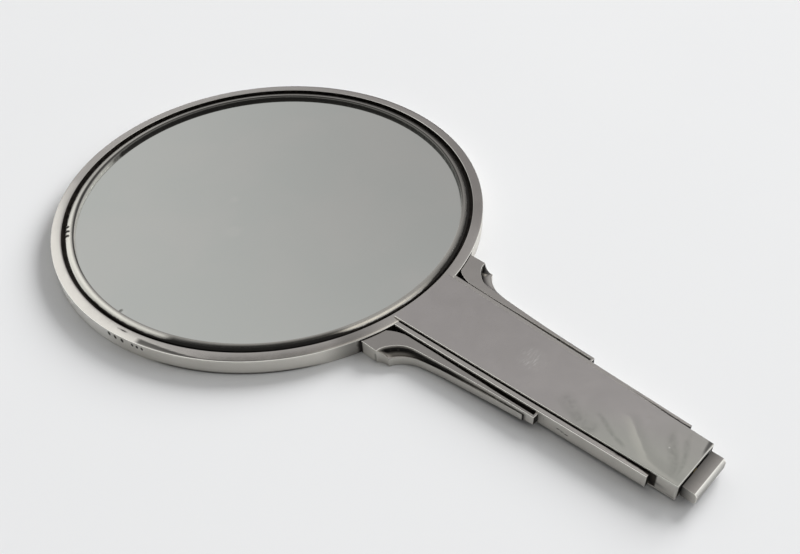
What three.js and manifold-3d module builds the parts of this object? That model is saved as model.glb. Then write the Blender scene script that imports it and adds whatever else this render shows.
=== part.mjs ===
// Art Deco hand mirror in polished silver: a round bevelled rim with a framed glass, and a long
// tapering box handle flanked by rails and stepped, swept shoulders.
// Millimetres. Origin: centre of the head on its resting plane. +Z points out of the glass,
// the handle runs along -Y, +X is to the right when looking at the glass with the handle down.
import * as THREE from "three";
import { mergeVertices } from "three/addons/utils/BufferGeometryUtils.js";
import Module from "manifold-3d";

const wasm = await Module();
wasm.setup();

const { mapLinear, degToRad } = THREE.MathUtils;

// ---------------------------------------------------------------- shared dimensions
// Names ending in _Z or _Y that hold two numbers are [low, high] ranges.
const HEAD_SEGMENTS = 96;
const ROD_SEGMENTS = 24;

const RIM_OUTER_R = 75;
const JOIN_R = RIM_OUTER_R + 0.1; // head end of the handle pieces, a fine joint from the rim

const FIT_GAP = 0.3; // clearance round the tongue and the spigot
const SEAM = 0.06; // soldered seam between neighbouring pieces
const CUT_OVERRUN = 1; // how far a cutting tool passes the face it opens

// ---------------------------------------------------------------- materials
// Each entry is a function that makes a fresh material.
const finish = (settings) => () => new THREE.MeshStandardMaterial(settings);

const brightSilver = finish({ color: 0xc9c4bf, roughness: 0.12, metalness: 1 });
const polishedSilver = finish({ color: 0xc9c4bf, roughness: 0.16, metalness: 1 });
const softSilver = finish({ color: 0xc9c4bf, roughness: 0.2, metalness: 1 });
const darkSilver = finish({ color: 0x3a3733, roughness: 0.5, metalness: 0.9 });
const brass = finish({ color: 0xb08d4a, roughness: 0.35, metalness: 1 });
const mirrorGlass = finish({ color: 0xa9aeaa, roughness: 0.03, metalness: 0.9 });
const silvering = finish({ color: 0xb9b4a6, roughness: 0.25, metalness: 0.9 });
const card = finish({ color: 0x8a7355, roughness: 0.9, metalness: 0 });
const felt = finish({ color: 0x4c3a34, roughness: 0.9, metalness: 0 });
const coreFiller = finish({ color: 0x9a7448, roughness: 0.7, metalness: 0 });

// ---------------------------------------------------------------- solids
// A solid of revolution about Z from a profile of [radius, z] points.
// A profile that starts and ends on the axis is left open.
function turned(profile, closed = true) {
  const points = profile.map(([radius, z]) => new THREE.Vector2(radius, z));
  if (closed) points.push(points[0].clone());
  return new THREE.LatheGeometry(points, HEAD_SEGMENTS).rotateX(Math.PI / 2);
}

const disc = (radius, [z0, z1]) => turned([[0, z0], [radius, z0], [radius, z1], [0, z1]], false);

const toShape = (points) => new THREE.Shape(points.map(([a, b]) => new THREE.Vector2(a, b)));

// A prism on an outline of [x, y] points; bottom and top are numbers or functions of (x, y).
function prism(outline, bottom, top) {
  const geometry = new THREE.ExtrudeGeometry(toShape(outline), { depth: 1, bevelEnabled: false });
  const position = geometry.attributes.position;
  const heightAt = (height, x, y) => (typeof height === "function" ? height(x, y) : height);
  for (let i = 0; i < position.count; i++) {
    const x = position.getX(i);
    const y = position.getY(i);
    const rise = position.getZ(i);
    position.setZ(i, heightAt(bottom, x, y) * (1 - rise) + heightAt(top, x, y) * rise);
  }
  return geometry;
}

const box = ([x0, x1], [y0, y1], [z0, z1]) =>
  new THREE.BoxGeometry(x1 - x0, y1 - y0, z1 - z0)
    .translate((x0 + x1) / 2, (y0 + y1) / 2, (z0 + z1) / 2);

const rodAlongY = (radius, [y0, y1], z) =>
  new THREE.CylinderGeometry(radius, radius, y1 - y0, ROD_SEGMENTS)
    .translate(0, (y0 + y1) / 2, z);

function toSolid(geometry) {
  const bare = geometry.clone();
  bare.deleteAttribute("normal");
  bare.deleteAttribute("uv");
  const welded = mergeVertices(bare, 1e-4);
  return new wasm.Manifold(
    new wasm.Mesh({
      numProp: 3,
      vertProperties: new Float32Array(welded.attributes.position.array),
      triVerts: new Uint32Array(welded.index.array),
    }),
  );
}

function toGeometry(solid) {
  const mesh = solid.getMesh();
  const vertices = new Float32Array(mesh.vertProperties);
  const geometry = new THREE.BufferGeometry();
  geometry.setAttribute("position", new THREE.BufferAttribute(vertices, 3));
  geometry.setIndex(new THREE.BufferAttribute(new Uint32Array(mesh.triVerts), 1));
  geometry.computeVertexNormals();
  return geometry;
}

const cut = (body, ...tools) =>
  toGeometry(tools.reduce((solid, tool) => solid.subtract(toSolid(tool)), toSolid(body)));
const join = (first, second) => toGeometry(toSolid(first).add(toSolid(second)));

// ---------------------------------------------------------------- outlines
// A height that changes evenly along Y.
const ramp = ({ y0, z0, y1, z1 }) => (x, y) => mapLinear(y, y0, y1, z0, z1);

const mirrored = (outline) => outline.map(([x, y]) => [-x, y]);

function smooth(points, samples) {
  const curve = new THREE.SplineCurve(points.map(([x, y]) => new THREE.Vector2(x, y)));
  return curve.getPoints(samples).map(({ x, y }) => [x, y]);
}

// Points on the handle side of the joint circle, between two x values.
function headArc(xStart, xEnd, steps) {
  const start = Math.asin(xStart / JOIN_R);
  const end = Math.asin(xEnd / JOIN_R);
  return Array.from({ length: steps + 1 }, (_, i) => {
    const angle = start + ((end - start) * i) / steps;
    return [JOIN_R * Math.sin(angle), -JOIN_R * Math.cos(angle)];
  });
}

// The y at which a tapering line, x = halfWidth(y), meets the joint circle.
function headJoinY(halfWidth) {
  let y = -JOIN_R;
  for (let i = 0; i < 20; i++) y = -Math.sqrt(JOIN_R ** 2 - halfWidth(y) ** 2);
  return y;
}

// An open line moved sideways; one that runs towards -Y moves towards +X.
function offset(line, distance) {
  return line.map(([x, y], i) => {
    const [beforeX, beforeY] = line[Math.max(0, i - 1)];
    const [afterX, afterY] = line[Math.min(line.length - 1, i + 1)];
    const dx = afterX - beforeX;
    const dy = afterY - beforeY;
    const length = Math.hypot(dx, dy);
    return [x - (dy / length) * distance, y + (dx / length) * distance];
  });
}

// ---------------------------------------------------------------- assembly helpers
const group = new THREE.Group();
const head = new THREE.Group();
const handle = new THREE.Group();
group.add(head, handle);

function addPiece(parent, name, geometry, makeMaterial) {
  const mesh = new THREE.Mesh(geometry, makeMaterial());
  mesh.name = name;
  parent.add(mesh);
}

// A right-hand prism of the handle and its mirror image.
function addPair(name, outline, bottom, top, makeMaterial) {
  addPiece(handle, `${name}_right`, prism(outline, bottom, top), makeMaterial);
  addPiece(handle, `${name}_left`, prism(mirrored(outline), bottom, top), makeMaterial);
}

// ---------------------------------------------------------------- head: metal rings
const RIM_INNER_R = 71.5;
const RIM_HEIGHT = 5.95;
const RIM_WALL = 1.3; // thickness of the upright band
const RIM_FLANGE = 1.6; // thickness of the flat top

function rimBand() {
  const wallInnerR = RIM_OUTER_R - RIM_WALL;
  const flangeBottom = RIM_HEIGHT - RIM_FLANGE;
  return turned([
    [wallInnerR, 0],
    [RIM_OUTER_R - 0.25, 0],
    [RIM_OUTER_R, 0.25],
    [RIM_OUTER_R, RIM_HEIGHT - 0.6],
    [RIM_OUTER_R - 0.15, RIM_HEIGHT - 0.2],
    [RIM_OUTER_R - 0.6, RIM_HEIGHT],
    [RIM_INNER_R + 0.25, RIM_HEIGHT],
    [RIM_INNER_R, RIM_HEIGHT - 0.2],
    [RIM_INNER_R, flangeBottom],
    [wallInnerR, flangeBottom],
  ]);
}

// Ring under the rim that centres the glass; its top is the floor of the groove round the bezel.
const SEAT_INNER_R = 69.65;
const SEAT_OUTER_R = 73.6;
const SEAT_Z = [0.9, 4.28];

function seatRing() {
  const [bottom, top] = SEAT_Z;
  return turned([
    [SEAT_INNER_R, bottom], [SEAT_OUTER_R, bottom], [SEAT_OUTER_R, top], [SEAT_INNER_R, top],
  ]);
}

const BEZEL_INNER_R = 67.4;
const BEZEL_OUTER_R = 70.4;
const BEZEL_BOTTOM = 4.3;
const BEZEL_CREST = 5.7;
const BEZEL_SPLIT_ANGLE = degToRad(-93.4);
const BEZEL_SPLIT_GAP = 0.3;

// Crowned ring over the edge of the glass, split near the handle.
function bezelRing() {
  const ring = turned([
    [BEZEL_INNER_R, BEZEL_BOTTOM],
    [BEZEL_OUTER_R, BEZEL_BOTTOM],
    [BEZEL_OUTER_R - 0.05, BEZEL_CREST - 0.75],
    [BEZEL_OUTER_R - 0.5, BEZEL_CREST - 0.34],
    [BEZEL_OUTER_R - 1.2, BEZEL_CREST - 0.09],
    [BEZEL_OUTER_R - 2.1, BEZEL_CREST],
    [BEZEL_INNER_R + 0.35, BEZEL_CREST - 0.04],
    [BEZEL_INNER_R, BEZEL_CREST - 0.3],
  ]);
  const split = box(
    [BEZEL_INNER_R - CUT_OVERRUN, BEZEL_OUTER_R + CUT_OVERRUN],
    [-BEZEL_SPLIT_GAP / 2, BEZEL_SPLIT_GAP / 2],
    [BEZEL_BOTTOM - CUT_OVERRUN, BEZEL_CREST + CUT_OVERRUN],
  ).rotateZ(BEZEL_SPLIT_ANGLE);
  return cut(ring, split);
}

// ---------------------------------------------------------------- head: glass, packing, back
const GLASS_R = 69.5;
const GLASS_Z = [1.98, SEAT_Z[1]];
const PACKING_R = 69.3; // silvering, card and felt
const SILVERING_Z = [1.83, 1.96];
const CARD_Z = [1.25, 1.81];
const FELT_Z = [0.86, 1.23];

const BACK_R = SEAT_OUTER_R;
const BACK_TOP = 0.84;
// Stepped outside face of the back: [radius, z], from the centre outwards.
const BACK_STEPS = [
  [0, 0], [60, 0], [60.4, 0.25], [66.4, 0.25], [66.8, 0.5], [BACK_R, 0.5],
];

const backPlate = () => turned([...BACK_STEPS, [BACK_R, BACK_TOP], [0, BACK_TOP]], false);

addPiece(head, "rim_band", rimBand(), polishedSilver);
addPiece(head, "seat_ring", seatRing(), darkSilver);
addPiece(head, "bezel_ring", bezelRing(), softSilver);
addPiece(head, "mirror_glass", disc(GLASS_R, GLASS_Z), mirrorGlass);
addPiece(head, "mirror_silvering", disc(PACKING_R, SILVERING_Z), silvering);
addPiece(head, "backing_card", disc(PACKING_R, CARD_Z), card);
addPiece(head, "felt_pad", disc(PACKING_R, FELT_Z), felt);
addPiece(head, "head_back_plate", backPlate(), polishedSilver);

// ---------------------------------------------------------------- handle: box
const PLATE_HEAD_Y = -71.9; // corners of the front plate, lying over the rim
const PLATE_HEAD_MID_Y = -72.32;
const PLATE_END_Y = -168.9;
const PLATE_HEAD_HALF = 12.48;
const PLATE_END_HALF = 9.15;
const FRONT_PLATE_Z = [5.98, 6.6];
const BACK_PLATE_Z = [0.48, 1.08];
const BOX_Z = [1.1, 5.96]; // side strips and end wall between the two plates
const BOX_WALL = 1.1;
const PLATE_END_EDGE = [[-PLATE_END_HALF, PLATE_END_Y], [PLATE_END_HALF, PLATE_END_Y]];

const SPIGOT_R = 1.5;
const SPIGOT_Y = [-171.5, -160];
const SPIGOT_CENTRE_Z = 3.55;

const plateHalf = (y) =>
  mapLinear(y, PLATE_HEAD_Y, PLATE_END_Y, PLATE_HEAD_HALF, PLATE_END_HALF);
const insideHalf = (y, gap) => plateHalf(y) - BOX_WALL - gap;
const boxHeadHalf = plateHalf(headJoinY(plateHalf));

// A plan shape across the inside of the box, a gap away from each side strip.
const insideOutline = ([y0, y1], gap) => [
  [-insideHalf(y0, gap), y0], [insideHalf(y0, gap), y0],
  [insideHalf(y1, gap), y1], [-insideHalf(y1, gap), y1],
];
const spigotHole = (rangeY) => rodAlongY(SPIGOT_R + FIT_GAP, rangeY, SPIGOT_CENTRE_Z);

function frontPlate() {
  const halfSteps = 5;
  const headEdge = [];
  for (let i = 0; i <= 2 * halfSteps; i++) {
    const across = 1 - i / halfSteps; // 1 at the right corner, -1 at the left
    const y = PLATE_HEAD_MID_Y + (PLATE_HEAD_Y - PLATE_HEAD_MID_Y) * across * across;
    headEdge.push([across * PLATE_HEAD_HALF, y]);
  }
  return prism([...PLATE_END_EDGE, ...headEdge], ...FRONT_PLATE_Z);
}

const handleBackPlate = () =>
  prism([...PLATE_END_EDGE, ...headArc(boxHeadHalf, -boxHeadHalf, 10)], ...BACK_PLATE_Z);

const sideStripOutline = () => [
  ...headArc(boxHeadHalf, boxHeadHalf - BOX_WALL, 2),
  [PLATE_END_HALF - BOX_WALL, PLATE_END_Y],
  [PLATE_END_HALF, PLATE_END_Y],
];

function endWall() {
  const [y0, y1] = [PLATE_END_Y, PLATE_END_Y + BOX_WALL];
  const wall = prism(insideOutline([y0, y1], SEAM), ...BOX_Z);
  return cut(wall, spigotHole([y0 - CUT_OVERRUN, y1 + CUT_OVERRUN]));
}

addPiece(handle, "handle_front_plate", frontPlate(), brightSilver);
addPiece(handle, "handle_back_plate", handleBackPlate(), brightSilver);
addPair("handle_side", sideStripOutline(), ...BOX_Z, softSilver);
addPiece(handle, "handle_end_wall", endWall(), softSilver);

// ---------------------------------------------------------------- handle: tang and core
const SADDLE_BACK_Y = -79.6;
const SADDLE_WIDTH_Y = -76; // where the saddle's head-end width is taken
const SADDLE_GAP = 0.12;
const SADDLE_Z = [1.12, 5.93];
const TONGUE_HALF = 4;
const TONGUE_END_Y = -118;
const TONGUE_Z = [2.6, 4.4];
const TONGUE_ROOT = 1; // overlap with the saddle
const CORE_Y = [-167.7, -80];
const CORE_Z = [1.15, 5.9];
const CORE_GAP = 0.15;

// A saddle against the rim with a flat tongue running into the core.
function tang() {
  const headHalf = insideHalf(SADDLE_WIDTH_Y, SADDLE_GAP);
  const backHalf = insideHalf(SADDLE_BACK_Y, SADDLE_GAP);
  const saddle = prism([
    ...headArc(headHalf, -headHalf, 10),
    [-backHalf, SADDLE_BACK_Y],
    [backHalf, SADDLE_BACK_Y],
  ], ...SADDLE_Z);
  const tongueY = [TONGUE_END_Y, SADDLE_BACK_Y + TONGUE_ROOT];
  return join(saddle, box([-TONGUE_HALF, TONGUE_HALF], tongueY, TONGUE_Z));
}

function core() {
  const slotHalf = TONGUE_HALF + FIT_GAP;
  const slot = box(
    [-slotHalf, slotHalf],
    [TONGUE_END_Y - FIT_GAP, CORE_Y[1] + CUT_OVERRUN],
    [TONGUE_Z[0] - FIT_GAP, TONGUE_Z[1] + FIT_GAP],
  );
  const hole = spigotHole([CORE_Y[0] - CUT_OVERRUN, SPIGOT_Y[1] + FIT_GAP]);
  return cut(prism(insideOutline(CORE_Y, CORE_GAP), ...CORE_Z), slot, hole);
}

addPiece(handle, "handle_tang", tang(), brass);
addPiece(handle, "handle_core", core(), coreFiller);

// ---------------------------------------------------------------- handle: end block, spigot
const END_BLOCK_HALF = 7.55;
const END_BLOCK_Y = [-173.7, -169.15];
const END_BLOCK_Z = [1.59, 5.52];
const END_BLOCK_CHAMFER = 0.85;

function endBlock() {
  const [y0, y1] = END_BLOCK_Y;
  const [z0, z1] = END_BLOCK_Z;
  const chamfer = END_BLOCK_CHAMFER;
  const section = toShape([ // [y, z]
    [y1, z0],
    [y1, z1],
    [y0 + chamfer * 0.8, z1],
    [y0 + chamfer * 0.23, z1 - chamfer * 0.3],
    [y0, z1 - chamfer],
    [y0, z0 + chamfer * 0.6],
    [y0 + chamfer * 0.5, z0],
  ]);
  // Extrusion axes (x, y, z) become the handle's (y, z, x).
  const layAcrossX = new THREE.Matrix4().set(
    0, 0, 1, 0,
    1, 0, 0, 0,
    0, 1, 0, 0,
    0, 0, 0, 1,
  );
  const block = new THREE.ExtrudeGeometry(section, {
    depth: 2 * END_BLOCK_HALF,
    bevelEnabled: false,
  }).translate(0, 0, -END_BLOCK_HALF).applyMatrix4(layAcrossX);
  return cut(block, spigotHole([SPIGOT_Y[0] - FIT_GAP, y1 + CUT_OVERRUN]));
}

addPiece(handle, "end_block", endBlock(), polishedSilver);
addPiece(handle, "end_spigot", rodAlongY(SPIGOT_R, SPIGOT_Y, SPIGOT_CENTRE_Z), brass);

// ---------------------------------------------------------------- handle: rails
const RAIL_GAP = 0.54; // dark line between the box and each rail
const RAIL_OUTER = { y0: -80.08, x0: 14.23, slope: 0.03563 };
const RAIL_END_Y = -161;
const RAIL_TOP = 5.81;
const RAIL_BOTTOM = { y0: -74, z0: 0.48, y1: RAIL_END_Y, z1: 1.35 };

const railOuter = (y) => RAIL_OUTER.x0 + (y - RAIL_OUTER.y0) * RAIL_OUTER.slope;
const railInner = (y) => plateHalf(y) + RAIL_GAP;

const railOutline = () => [
  ...headArc(railOuter(headJoinY(railOuter)), railInner(headJoinY(railInner)), 3),
  [railInner(RAIL_END_Y), RAIL_END_Y],
  [railOuter(RAIL_END_Y), RAIL_END_Y],
];

addPair("inner_rail", railOutline(), ramp(RAIL_BOTTOM), RAIL_TOP, softSilver);

// ---------------------------------------------------------------- handle: upper shoulders
// All shoulder tables are [x, y] points of the right-hand side.
const SHOULDER_HALF = 25.74;
const SHOULDER_CORNER_Y = -76.68;
const SHOULDER_TAIL_Y = -126.9;
const SLOT_END_Y = -126.2;
const UPPER_TOP = 5.09;
const UPPER_BOTTOM = { y0: -70.5, z0: 0.05, y1: SHOULDER_TAIL_Y, z1: 1.9 };

// Outer sweep, from the corner to the tail.
const UPPER_SWEEP = [
  [SHOULDER_HALF, SHOULDER_CORNER_Y], [23.88, -76.99], [22.17, -77.88], [20.09, -79.62],
  [18.77, -81.4], [17.98, -83.37], [17.55, -86.09], [17.22, -89.52],
  [16.57, -96.53], [15.99, -103.68], [15.44, -111.54], [15.0, -120.12],
  [14.76, SHOULDER_TAIL_Y],
];
// Inner edge: a curve from the rim round the opening, then straight runs beside the rail.
const OPENING_EDGE = [
  [17.8, -72.96], [17.37, -73.5], [16.48, -74.93], [15.75, -76.5],
  [15.25, -78.15], [15.05, -79.2], [14.95, -82.0],
];
const SLOT_EDGE = [[14.69, -89.4], [14.26, -114.4], [13.9, SLOT_END_Y]];

const upperSweep = smooth(UPPER_SWEEP, 40);
const upperInner = [...smooth(OPENING_EDGE, 16), ...SLOT_EDGE];

const upperOutline = () => [
  ...headArc(OPENING_EDGE[0][0], SHOULDER_HALF, 5),
  ...upperSweep,
  [railOuter(SHOULDER_TAIL_Y) + SEAM, SHOULDER_TAIL_Y],
  [railOuter(SLOT_END_Y) + SEAM, SLOT_END_Y],
  ...upperInner.slice(1).reverse(),
];

addPair("shoulder_upper", upperOutline(), ramp(UPPER_BOTTOM), UPPER_TOP, polishedSilver);

// ---------------------------------------------------------------- handle: lower shoulders
const LOWER_CORNER = [24.52, -80.87]; // between the scalloped end and the sweep
const LOWER_TAIL_Y = -123.6;
const LOWER_TOP = { y0: LOWER_CORNER[1], z0: 3.2, y1: LOWER_TAIL_Y, z1: 3.85 };
const LOWER_BOTTOM = { y0: LOWER_CORNER[1], z0: 0.16, y1: LOWER_TAIL_Y, z1: 1.6 };
const COVE_RISE = 1.9; // the top climbs to the shoulder's outer corner
const COVE_REACH = 5;
const TAIL_CLEARANCE = 0.4; // least y from the last contact point to the tail

// Scalloped end, after its first corner on the upper layer.
const LOWER_SCALLOP = [[25.1, -77.43], [24.68, -78.51], [24.42, -79.6], LOWER_CORNER];
// Outer sweep, from the second corner to the tail.
const LOWER_SWEEP = [
  LOWER_CORNER, [23.4, -81.3], [22.2, -82.3], [21.13, -83.48],
  [20.2, -84.8], [19.5, -86.1], [18.95, -87.6], [18.24, -91.2],
  [17.72, -94.6], [17.25, -98.9], [16.85, -103.5], [16.42, -108.6],
  [16.0, -113.2], [15.62, -118.0], [15.22, LOWER_TAIL_Y],
];

// A crescent soldered along the upper sweep, from the corner to short of the tail.
function lowerOutline() {
  const contact = offset(upperSweep, SEAM).filter(([, y]) => y > LOWER_TAIL_Y);
  if (contact.at(-1)[1] - LOWER_TAIL_Y < TAIL_CLEARANCE) contact.pop();
  const next = upperSweep.findIndex(([, y]) => y <= LOWER_TAIL_Y);
  const [beforeX, beforeY] = upperSweep[next - 1];
  const [afterX, afterY] = upperSweep[next];
  const tailX = mapLinear(LOWER_TAIL_Y, beforeY, afterY, beforeX, afterX) + SEAM;
  return [
    ...contact,
    [tailX, LOWER_TAIL_Y],
    ...smooth(LOWER_SWEEP, 36).reverse(),
    ...smooth([contact[0], ...LOWER_SCALLOP], 8).slice(1, -1).reverse(),
  ];
}

function lowerTop(x, y) {
  const distance = Math.hypot(Math.abs(x) - SHOULDER_HALF, y - SHOULDER_CORNER_Y);
  const nearness = Math.max(0, 1 - distance / COVE_REACH);
  return ramp(LOWER_TOP)(x, y) + COVE_RISE * nearness * nearness;
}

addPair("shoulder_lower", lowerOutline(), ramp(LOWER_BOTTOM), lowerTop, polishedSilver);

// ---------------------------------------------------------------- handle: slot webs
const WEB_Z = [2, 2.7];
const WEB_GAP = 0.1; // to the rail, the upper layer and the end of the slot
const WEB_ARC_INSET = 0.15; // further gap at the outer end of the head arc

// Thin plate between rail and upper layer: the floor of the slot and the opening by the rim.
function webOutline() {
  const inner = (y) => railOuter(y) + WEB_GAP;
  const outer = upperInner.map(([x, y]) => [x - WEB_GAP, y]);
  const endY = SLOT_END_Y + WEB_GAP;
  return [
    ...headArc(inner(headJoinY(inner)), outer[0][0] - WEB_ARC_INSET, 3),
    ...outer.slice(1, -1),
    [outer.at(-1)[0], endY],
    [inner(SLOT_END_Y), endY],
  ];
}

addPair("slot_web", webOutline(), ...WEB_Z, darkSilver);

export default group;
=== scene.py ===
import math

import bmesh
import bpy
import numpy as np
from mathutils import Matrix, Vector, noise


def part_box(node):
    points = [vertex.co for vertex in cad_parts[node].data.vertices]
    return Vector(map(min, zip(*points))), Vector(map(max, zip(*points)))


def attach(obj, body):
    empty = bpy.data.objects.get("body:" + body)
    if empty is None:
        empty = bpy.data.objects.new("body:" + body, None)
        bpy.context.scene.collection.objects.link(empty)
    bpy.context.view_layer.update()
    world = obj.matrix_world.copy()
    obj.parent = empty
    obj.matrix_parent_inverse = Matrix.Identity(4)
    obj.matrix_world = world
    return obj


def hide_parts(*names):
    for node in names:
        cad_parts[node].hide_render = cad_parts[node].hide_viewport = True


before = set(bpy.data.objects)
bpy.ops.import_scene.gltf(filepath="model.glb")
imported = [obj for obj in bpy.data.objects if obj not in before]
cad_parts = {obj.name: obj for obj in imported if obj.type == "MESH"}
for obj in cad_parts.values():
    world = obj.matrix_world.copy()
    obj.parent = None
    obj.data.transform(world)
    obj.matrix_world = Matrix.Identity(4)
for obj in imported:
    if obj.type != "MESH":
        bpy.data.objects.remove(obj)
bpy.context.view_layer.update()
MM = 0.001
SIDES = ((1, "right"), (-1, "left"))  # sign of x, word in the names


def cad(node):
    """Lowest and highest corner of a CAD node in millimetres."""
    lo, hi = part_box(node)
    return np.array(lo) / MM, np.array(hi) / MM


# ------------------------------------------------------------------ dimensions
RIM_R, _, RIM_TOP = cad("rim_band")[1]
RIM_IN = RIM_R - 3.5
BEZEL_LO, BEZEL_HI = cad("bezel_ring")
BEZEL_OUT, BEZEL_IN = 70.4, 67.4
BEZEL_MID = 69.0  # radius at which lengths along the bezel are measured
SPLIT = math.radians(-93.4)  # where the bezel ring is cut
SPLIT_HALF_GAP = 0.02
PLATE_LO, PLATE_HI = cad("handle_front_plate")
PLATE_END, PLATE_HEAD = PLATE_LO[1], PLATE_HI[1]
BOX_LO, BOX_HI = cad("handle_side_right")
RAIL_LO, RAIL_HI = cad("inner_rail_right")
UP_LO, UP_HI = cad("shoulder_upper_right")
LOW_LO, LOW_HI = cad("shoulder_lower_right")
WEB_LO, WEB_HI = cad("slot_web_right")
BLOCK_LO, BLOCK_HI = cad("end_block")
JOIN_R = 75.1  # arc round Z on which the handle pieces meet the rim

HALF_HEAD, HALF_END = 12.48, 9.15  # half width of the plates at either end of the taper
TAPER_HEAD_Y, TAPER_END_Y = -71.9, -168.9
RAIL_HALF, RAIL_Y, RAIL_TAPER = 14.23, -80.08, 0.03563  # outer face: x at y, and its slope
RAIL_GAP = 0.54  # from the plate to the rail
SHOULDER_GAP = 0.06
SLOT_END_Y = -126.2
HOLE_R, HOLE_Z = 1.8, 3.55  # hole along Y through the end of the handle

# Outlines of the right shoulder, (x, y).
UPPER_SWEEP = [
    (25.74, -76.68), (23.88, -76.99), (22.17, -77.88), (20.09, -79.62), (18.77, -81.4),
    (17.98, -83.37), (17.55, -86.09), (17.22, -89.52), (16.57, -96.53), (15.99, -103.68),
    (15.44, -111.54), (15.0, -120.12), (14.76, -126.9),
]
UPPER_INNER = [
    (17.8, -72.96), (17.37, -73.5), (16.48, -74.93), (15.75, -76.5), (15.25, -78.15),
    (15.05, -79.2), (14.95, -82.0), (14.69, -89.4), (14.26, -114.4), (13.9, -126.2),
]
LOWER_SWEEP = [
    (24.52, -80.87), (23.4, -81.3), (22.2, -82.3), (21.13, -83.48), (20.2, -84.8),
    (19.5, -86.1), (18.95, -87.6), (18.24, -91.2), (17.72, -94.6), (17.25, -98.9),
    (16.85, -103.5), (16.42, -108.6), (16.0, -113.2), (15.62, -118.0), (15.22, -123.6),
]
LOWER_SCALLOP = [(25.1, -77.43), (24.68, -78.51), (24.42, -79.6), LOWER_SWEEP[0]]


def between(value, start, end, first, last):
    """A straight line that is first at start and last at end."""
    return first + (value - start) / (end - start) * (last - first)


def plate_half(y):
    return between(y, TAPER_HEAD_Y, TAPER_END_Y, HALF_HEAD, HALF_END)


def rail_outer(y):
    return RAIL_HALF + (y - RAIL_Y) * RAIL_TAPER


def rail_inner(y):
    return plate_half(y) + RAIL_GAP


def lower_top(y):
    """Height of the lower shoulder's top, before it is hollowed."""
    return between(y, LOWER_SWEEP[0][1], LOWER_SWEEP[-1][1], 3.2, 3.85)


def meets(half):
    """The y at which an edge at x = half(y) reaches the joint arc."""
    y = -JOIN_R
    for _ in range(30):
        y = -math.sqrt(JOIN_R ** 2 - half(y) ** 2)
    return y


# ------------------------------------------------------------------ 2-D helpers
def spline(points, samples):
    """A smooth curve through the points, with equal steps of its parameter."""
    points = np.array(points, float)
    last = len(points) - 1
    curve = []
    for sample in range(samples + 1):
        place = last * sample / samples
        i = int(place)
        t = place - i
        before, start = points[max(i - 1, 0)], points[i]
        end, after = points[min(i + 1, last)], points[min(i + 2, last)]
        leave, arrive = (end - before) * 0.5, (after - start) * 0.5
        curve.append(tuple(
            (2 * start - 2 * end + leave + arrive) * t ** 3
            + (-3 * start + 3 * end - 2 * leave - arrive) * t ** 2
            + leave * t + start
        ))
    return curve


def head_arc(x0, x1, steps):
    """Points along the joint arc from x0 to x1, on the handle's side of the head."""
    start, end = math.asin(x0 / JOIN_R), math.asin(x1 / JOIN_R)
    angles = [start + (end - start) * i / steps for i in range(steps + 1)]
    return [(JOIN_R * math.sin(angle), -JOIN_R * math.cos(angle)) for angle in angles]


def offset(line, distance):
    """The line moved sideways, to the left of its direction."""
    moved = []
    for i, (x, y) in enumerate(line):
        (ax, ay), (bx, by) = line[max(0, i - 1)], line[min(len(line) - 1, i + 1)]
        length = math.hypot(bx - ax, by - ay)
        moved.append((x - (by - ay) / length * distance, y + (bx - ax) / length * distance))
    return moved


def densify(line, step, closed=True):
    """Adds points so that no edge is longer than step."""
    dense = []
    count = len(line)
    for i in range(count if closed else count - 1):
        start, end = np.array(line[i], float), np.array(line[(i + 1) % count], float)
        parts = max(1, int(math.ceil(np.linalg.norm(end - start) / step)))
        dense += [tuple(start + (end - start) * j / parts) for j in range(parts)]
    if not closed:
        dense.append(tuple(line[-1]))
    return dense


def fillet(points, radii, steps):
    """A closed outline with each corner rounded by its radius, 0 for a sharp one."""
    rounded = []
    count = len(points)
    for i, radius in enumerate(radii):
        corner = np.array(points[i], float)
        if radius <= 0:
            rounded.append(tuple(corner))
            continue
        back = np.array(points[i - 1], float) - corner
        ahead = np.array(points[(i + 1) % count], float) - corner
        back_len, ahead_len = np.linalg.norm(back), np.linalg.norm(ahead)
        back, ahead = back / back_len, ahead / ahead_len
        angle = math.acos(max(-1, min(1, float(back @ ahead))))
        if angle > math.pi - 0.02:
            rounded.append(tuple(corner))
            continue
        reach = min(radius / math.tan(angle / 2), 0.49 * back_len, 0.49 * ahead_len)
        radius = reach * math.tan(angle / 2)
        middle = (back + ahead) / np.linalg.norm(back + ahead)
        centre = corner + middle * (radius / math.sin(angle / 2))
        start, end = corner + back * reach - centre, corner + ahead * reach - centre
        cosine = float(start @ end) / (np.linalg.norm(start) * np.linalg.norm(end))
        sweep = math.acos(max(-1, min(1, cosine)))
        for j in range(steps + 1):
            t = j / steps
            spoke = math.sin((1 - t) * sweep) * start + math.sin(t * sweep) * end
            rounded.append(tuple(centre + spoke / math.sin(sweep)))
    return rounded


def mirrored(outline, side):
    return [(x * side, y) for x, y in outline]


# ------------------------------------------------------------------ painting helpers
def rise(value, start, end):
    """0 at start, 1 at end, smooth between; start may be above end."""
    t = np.clip((np.asarray(value, float) - start) / (end - start), 0, 1)
    return t * t * (3 - 2 * t)


def fall(value, start, end):
    return 1 - rise(value, start, end)


def band(value, start, full, fading, end):
    """1 between full and fading, 0 outside start and end."""
    return rise(value, start, full) * fall(value, fading, end)


def strongest(*layers):
    return np.maximum.reduce(layers)


def polar(x, y):
    """Radius, and angle in degrees from +X towards +Y."""
    return np.hypot(x, y), np.degrees(np.arctan2(y, x))


def distance_to(line, x, y):
    """Distance from each place to the nearest point of the line."""
    line = np.asarray(line)
    x, y = np.asarray(x)[..., None], np.asarray(y)[..., None]
    return np.min(np.hypot(x - line[:, 0], y - line[:, 1]), axis=-1)


def read_vertices(mesh, key):
    values = np.zeros(len(mesh.vertices) * 3, np.float32)
    mesh.vertices.foreach_get(key, values)
    return values.reshape(-1, 3).astype(float)


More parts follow.
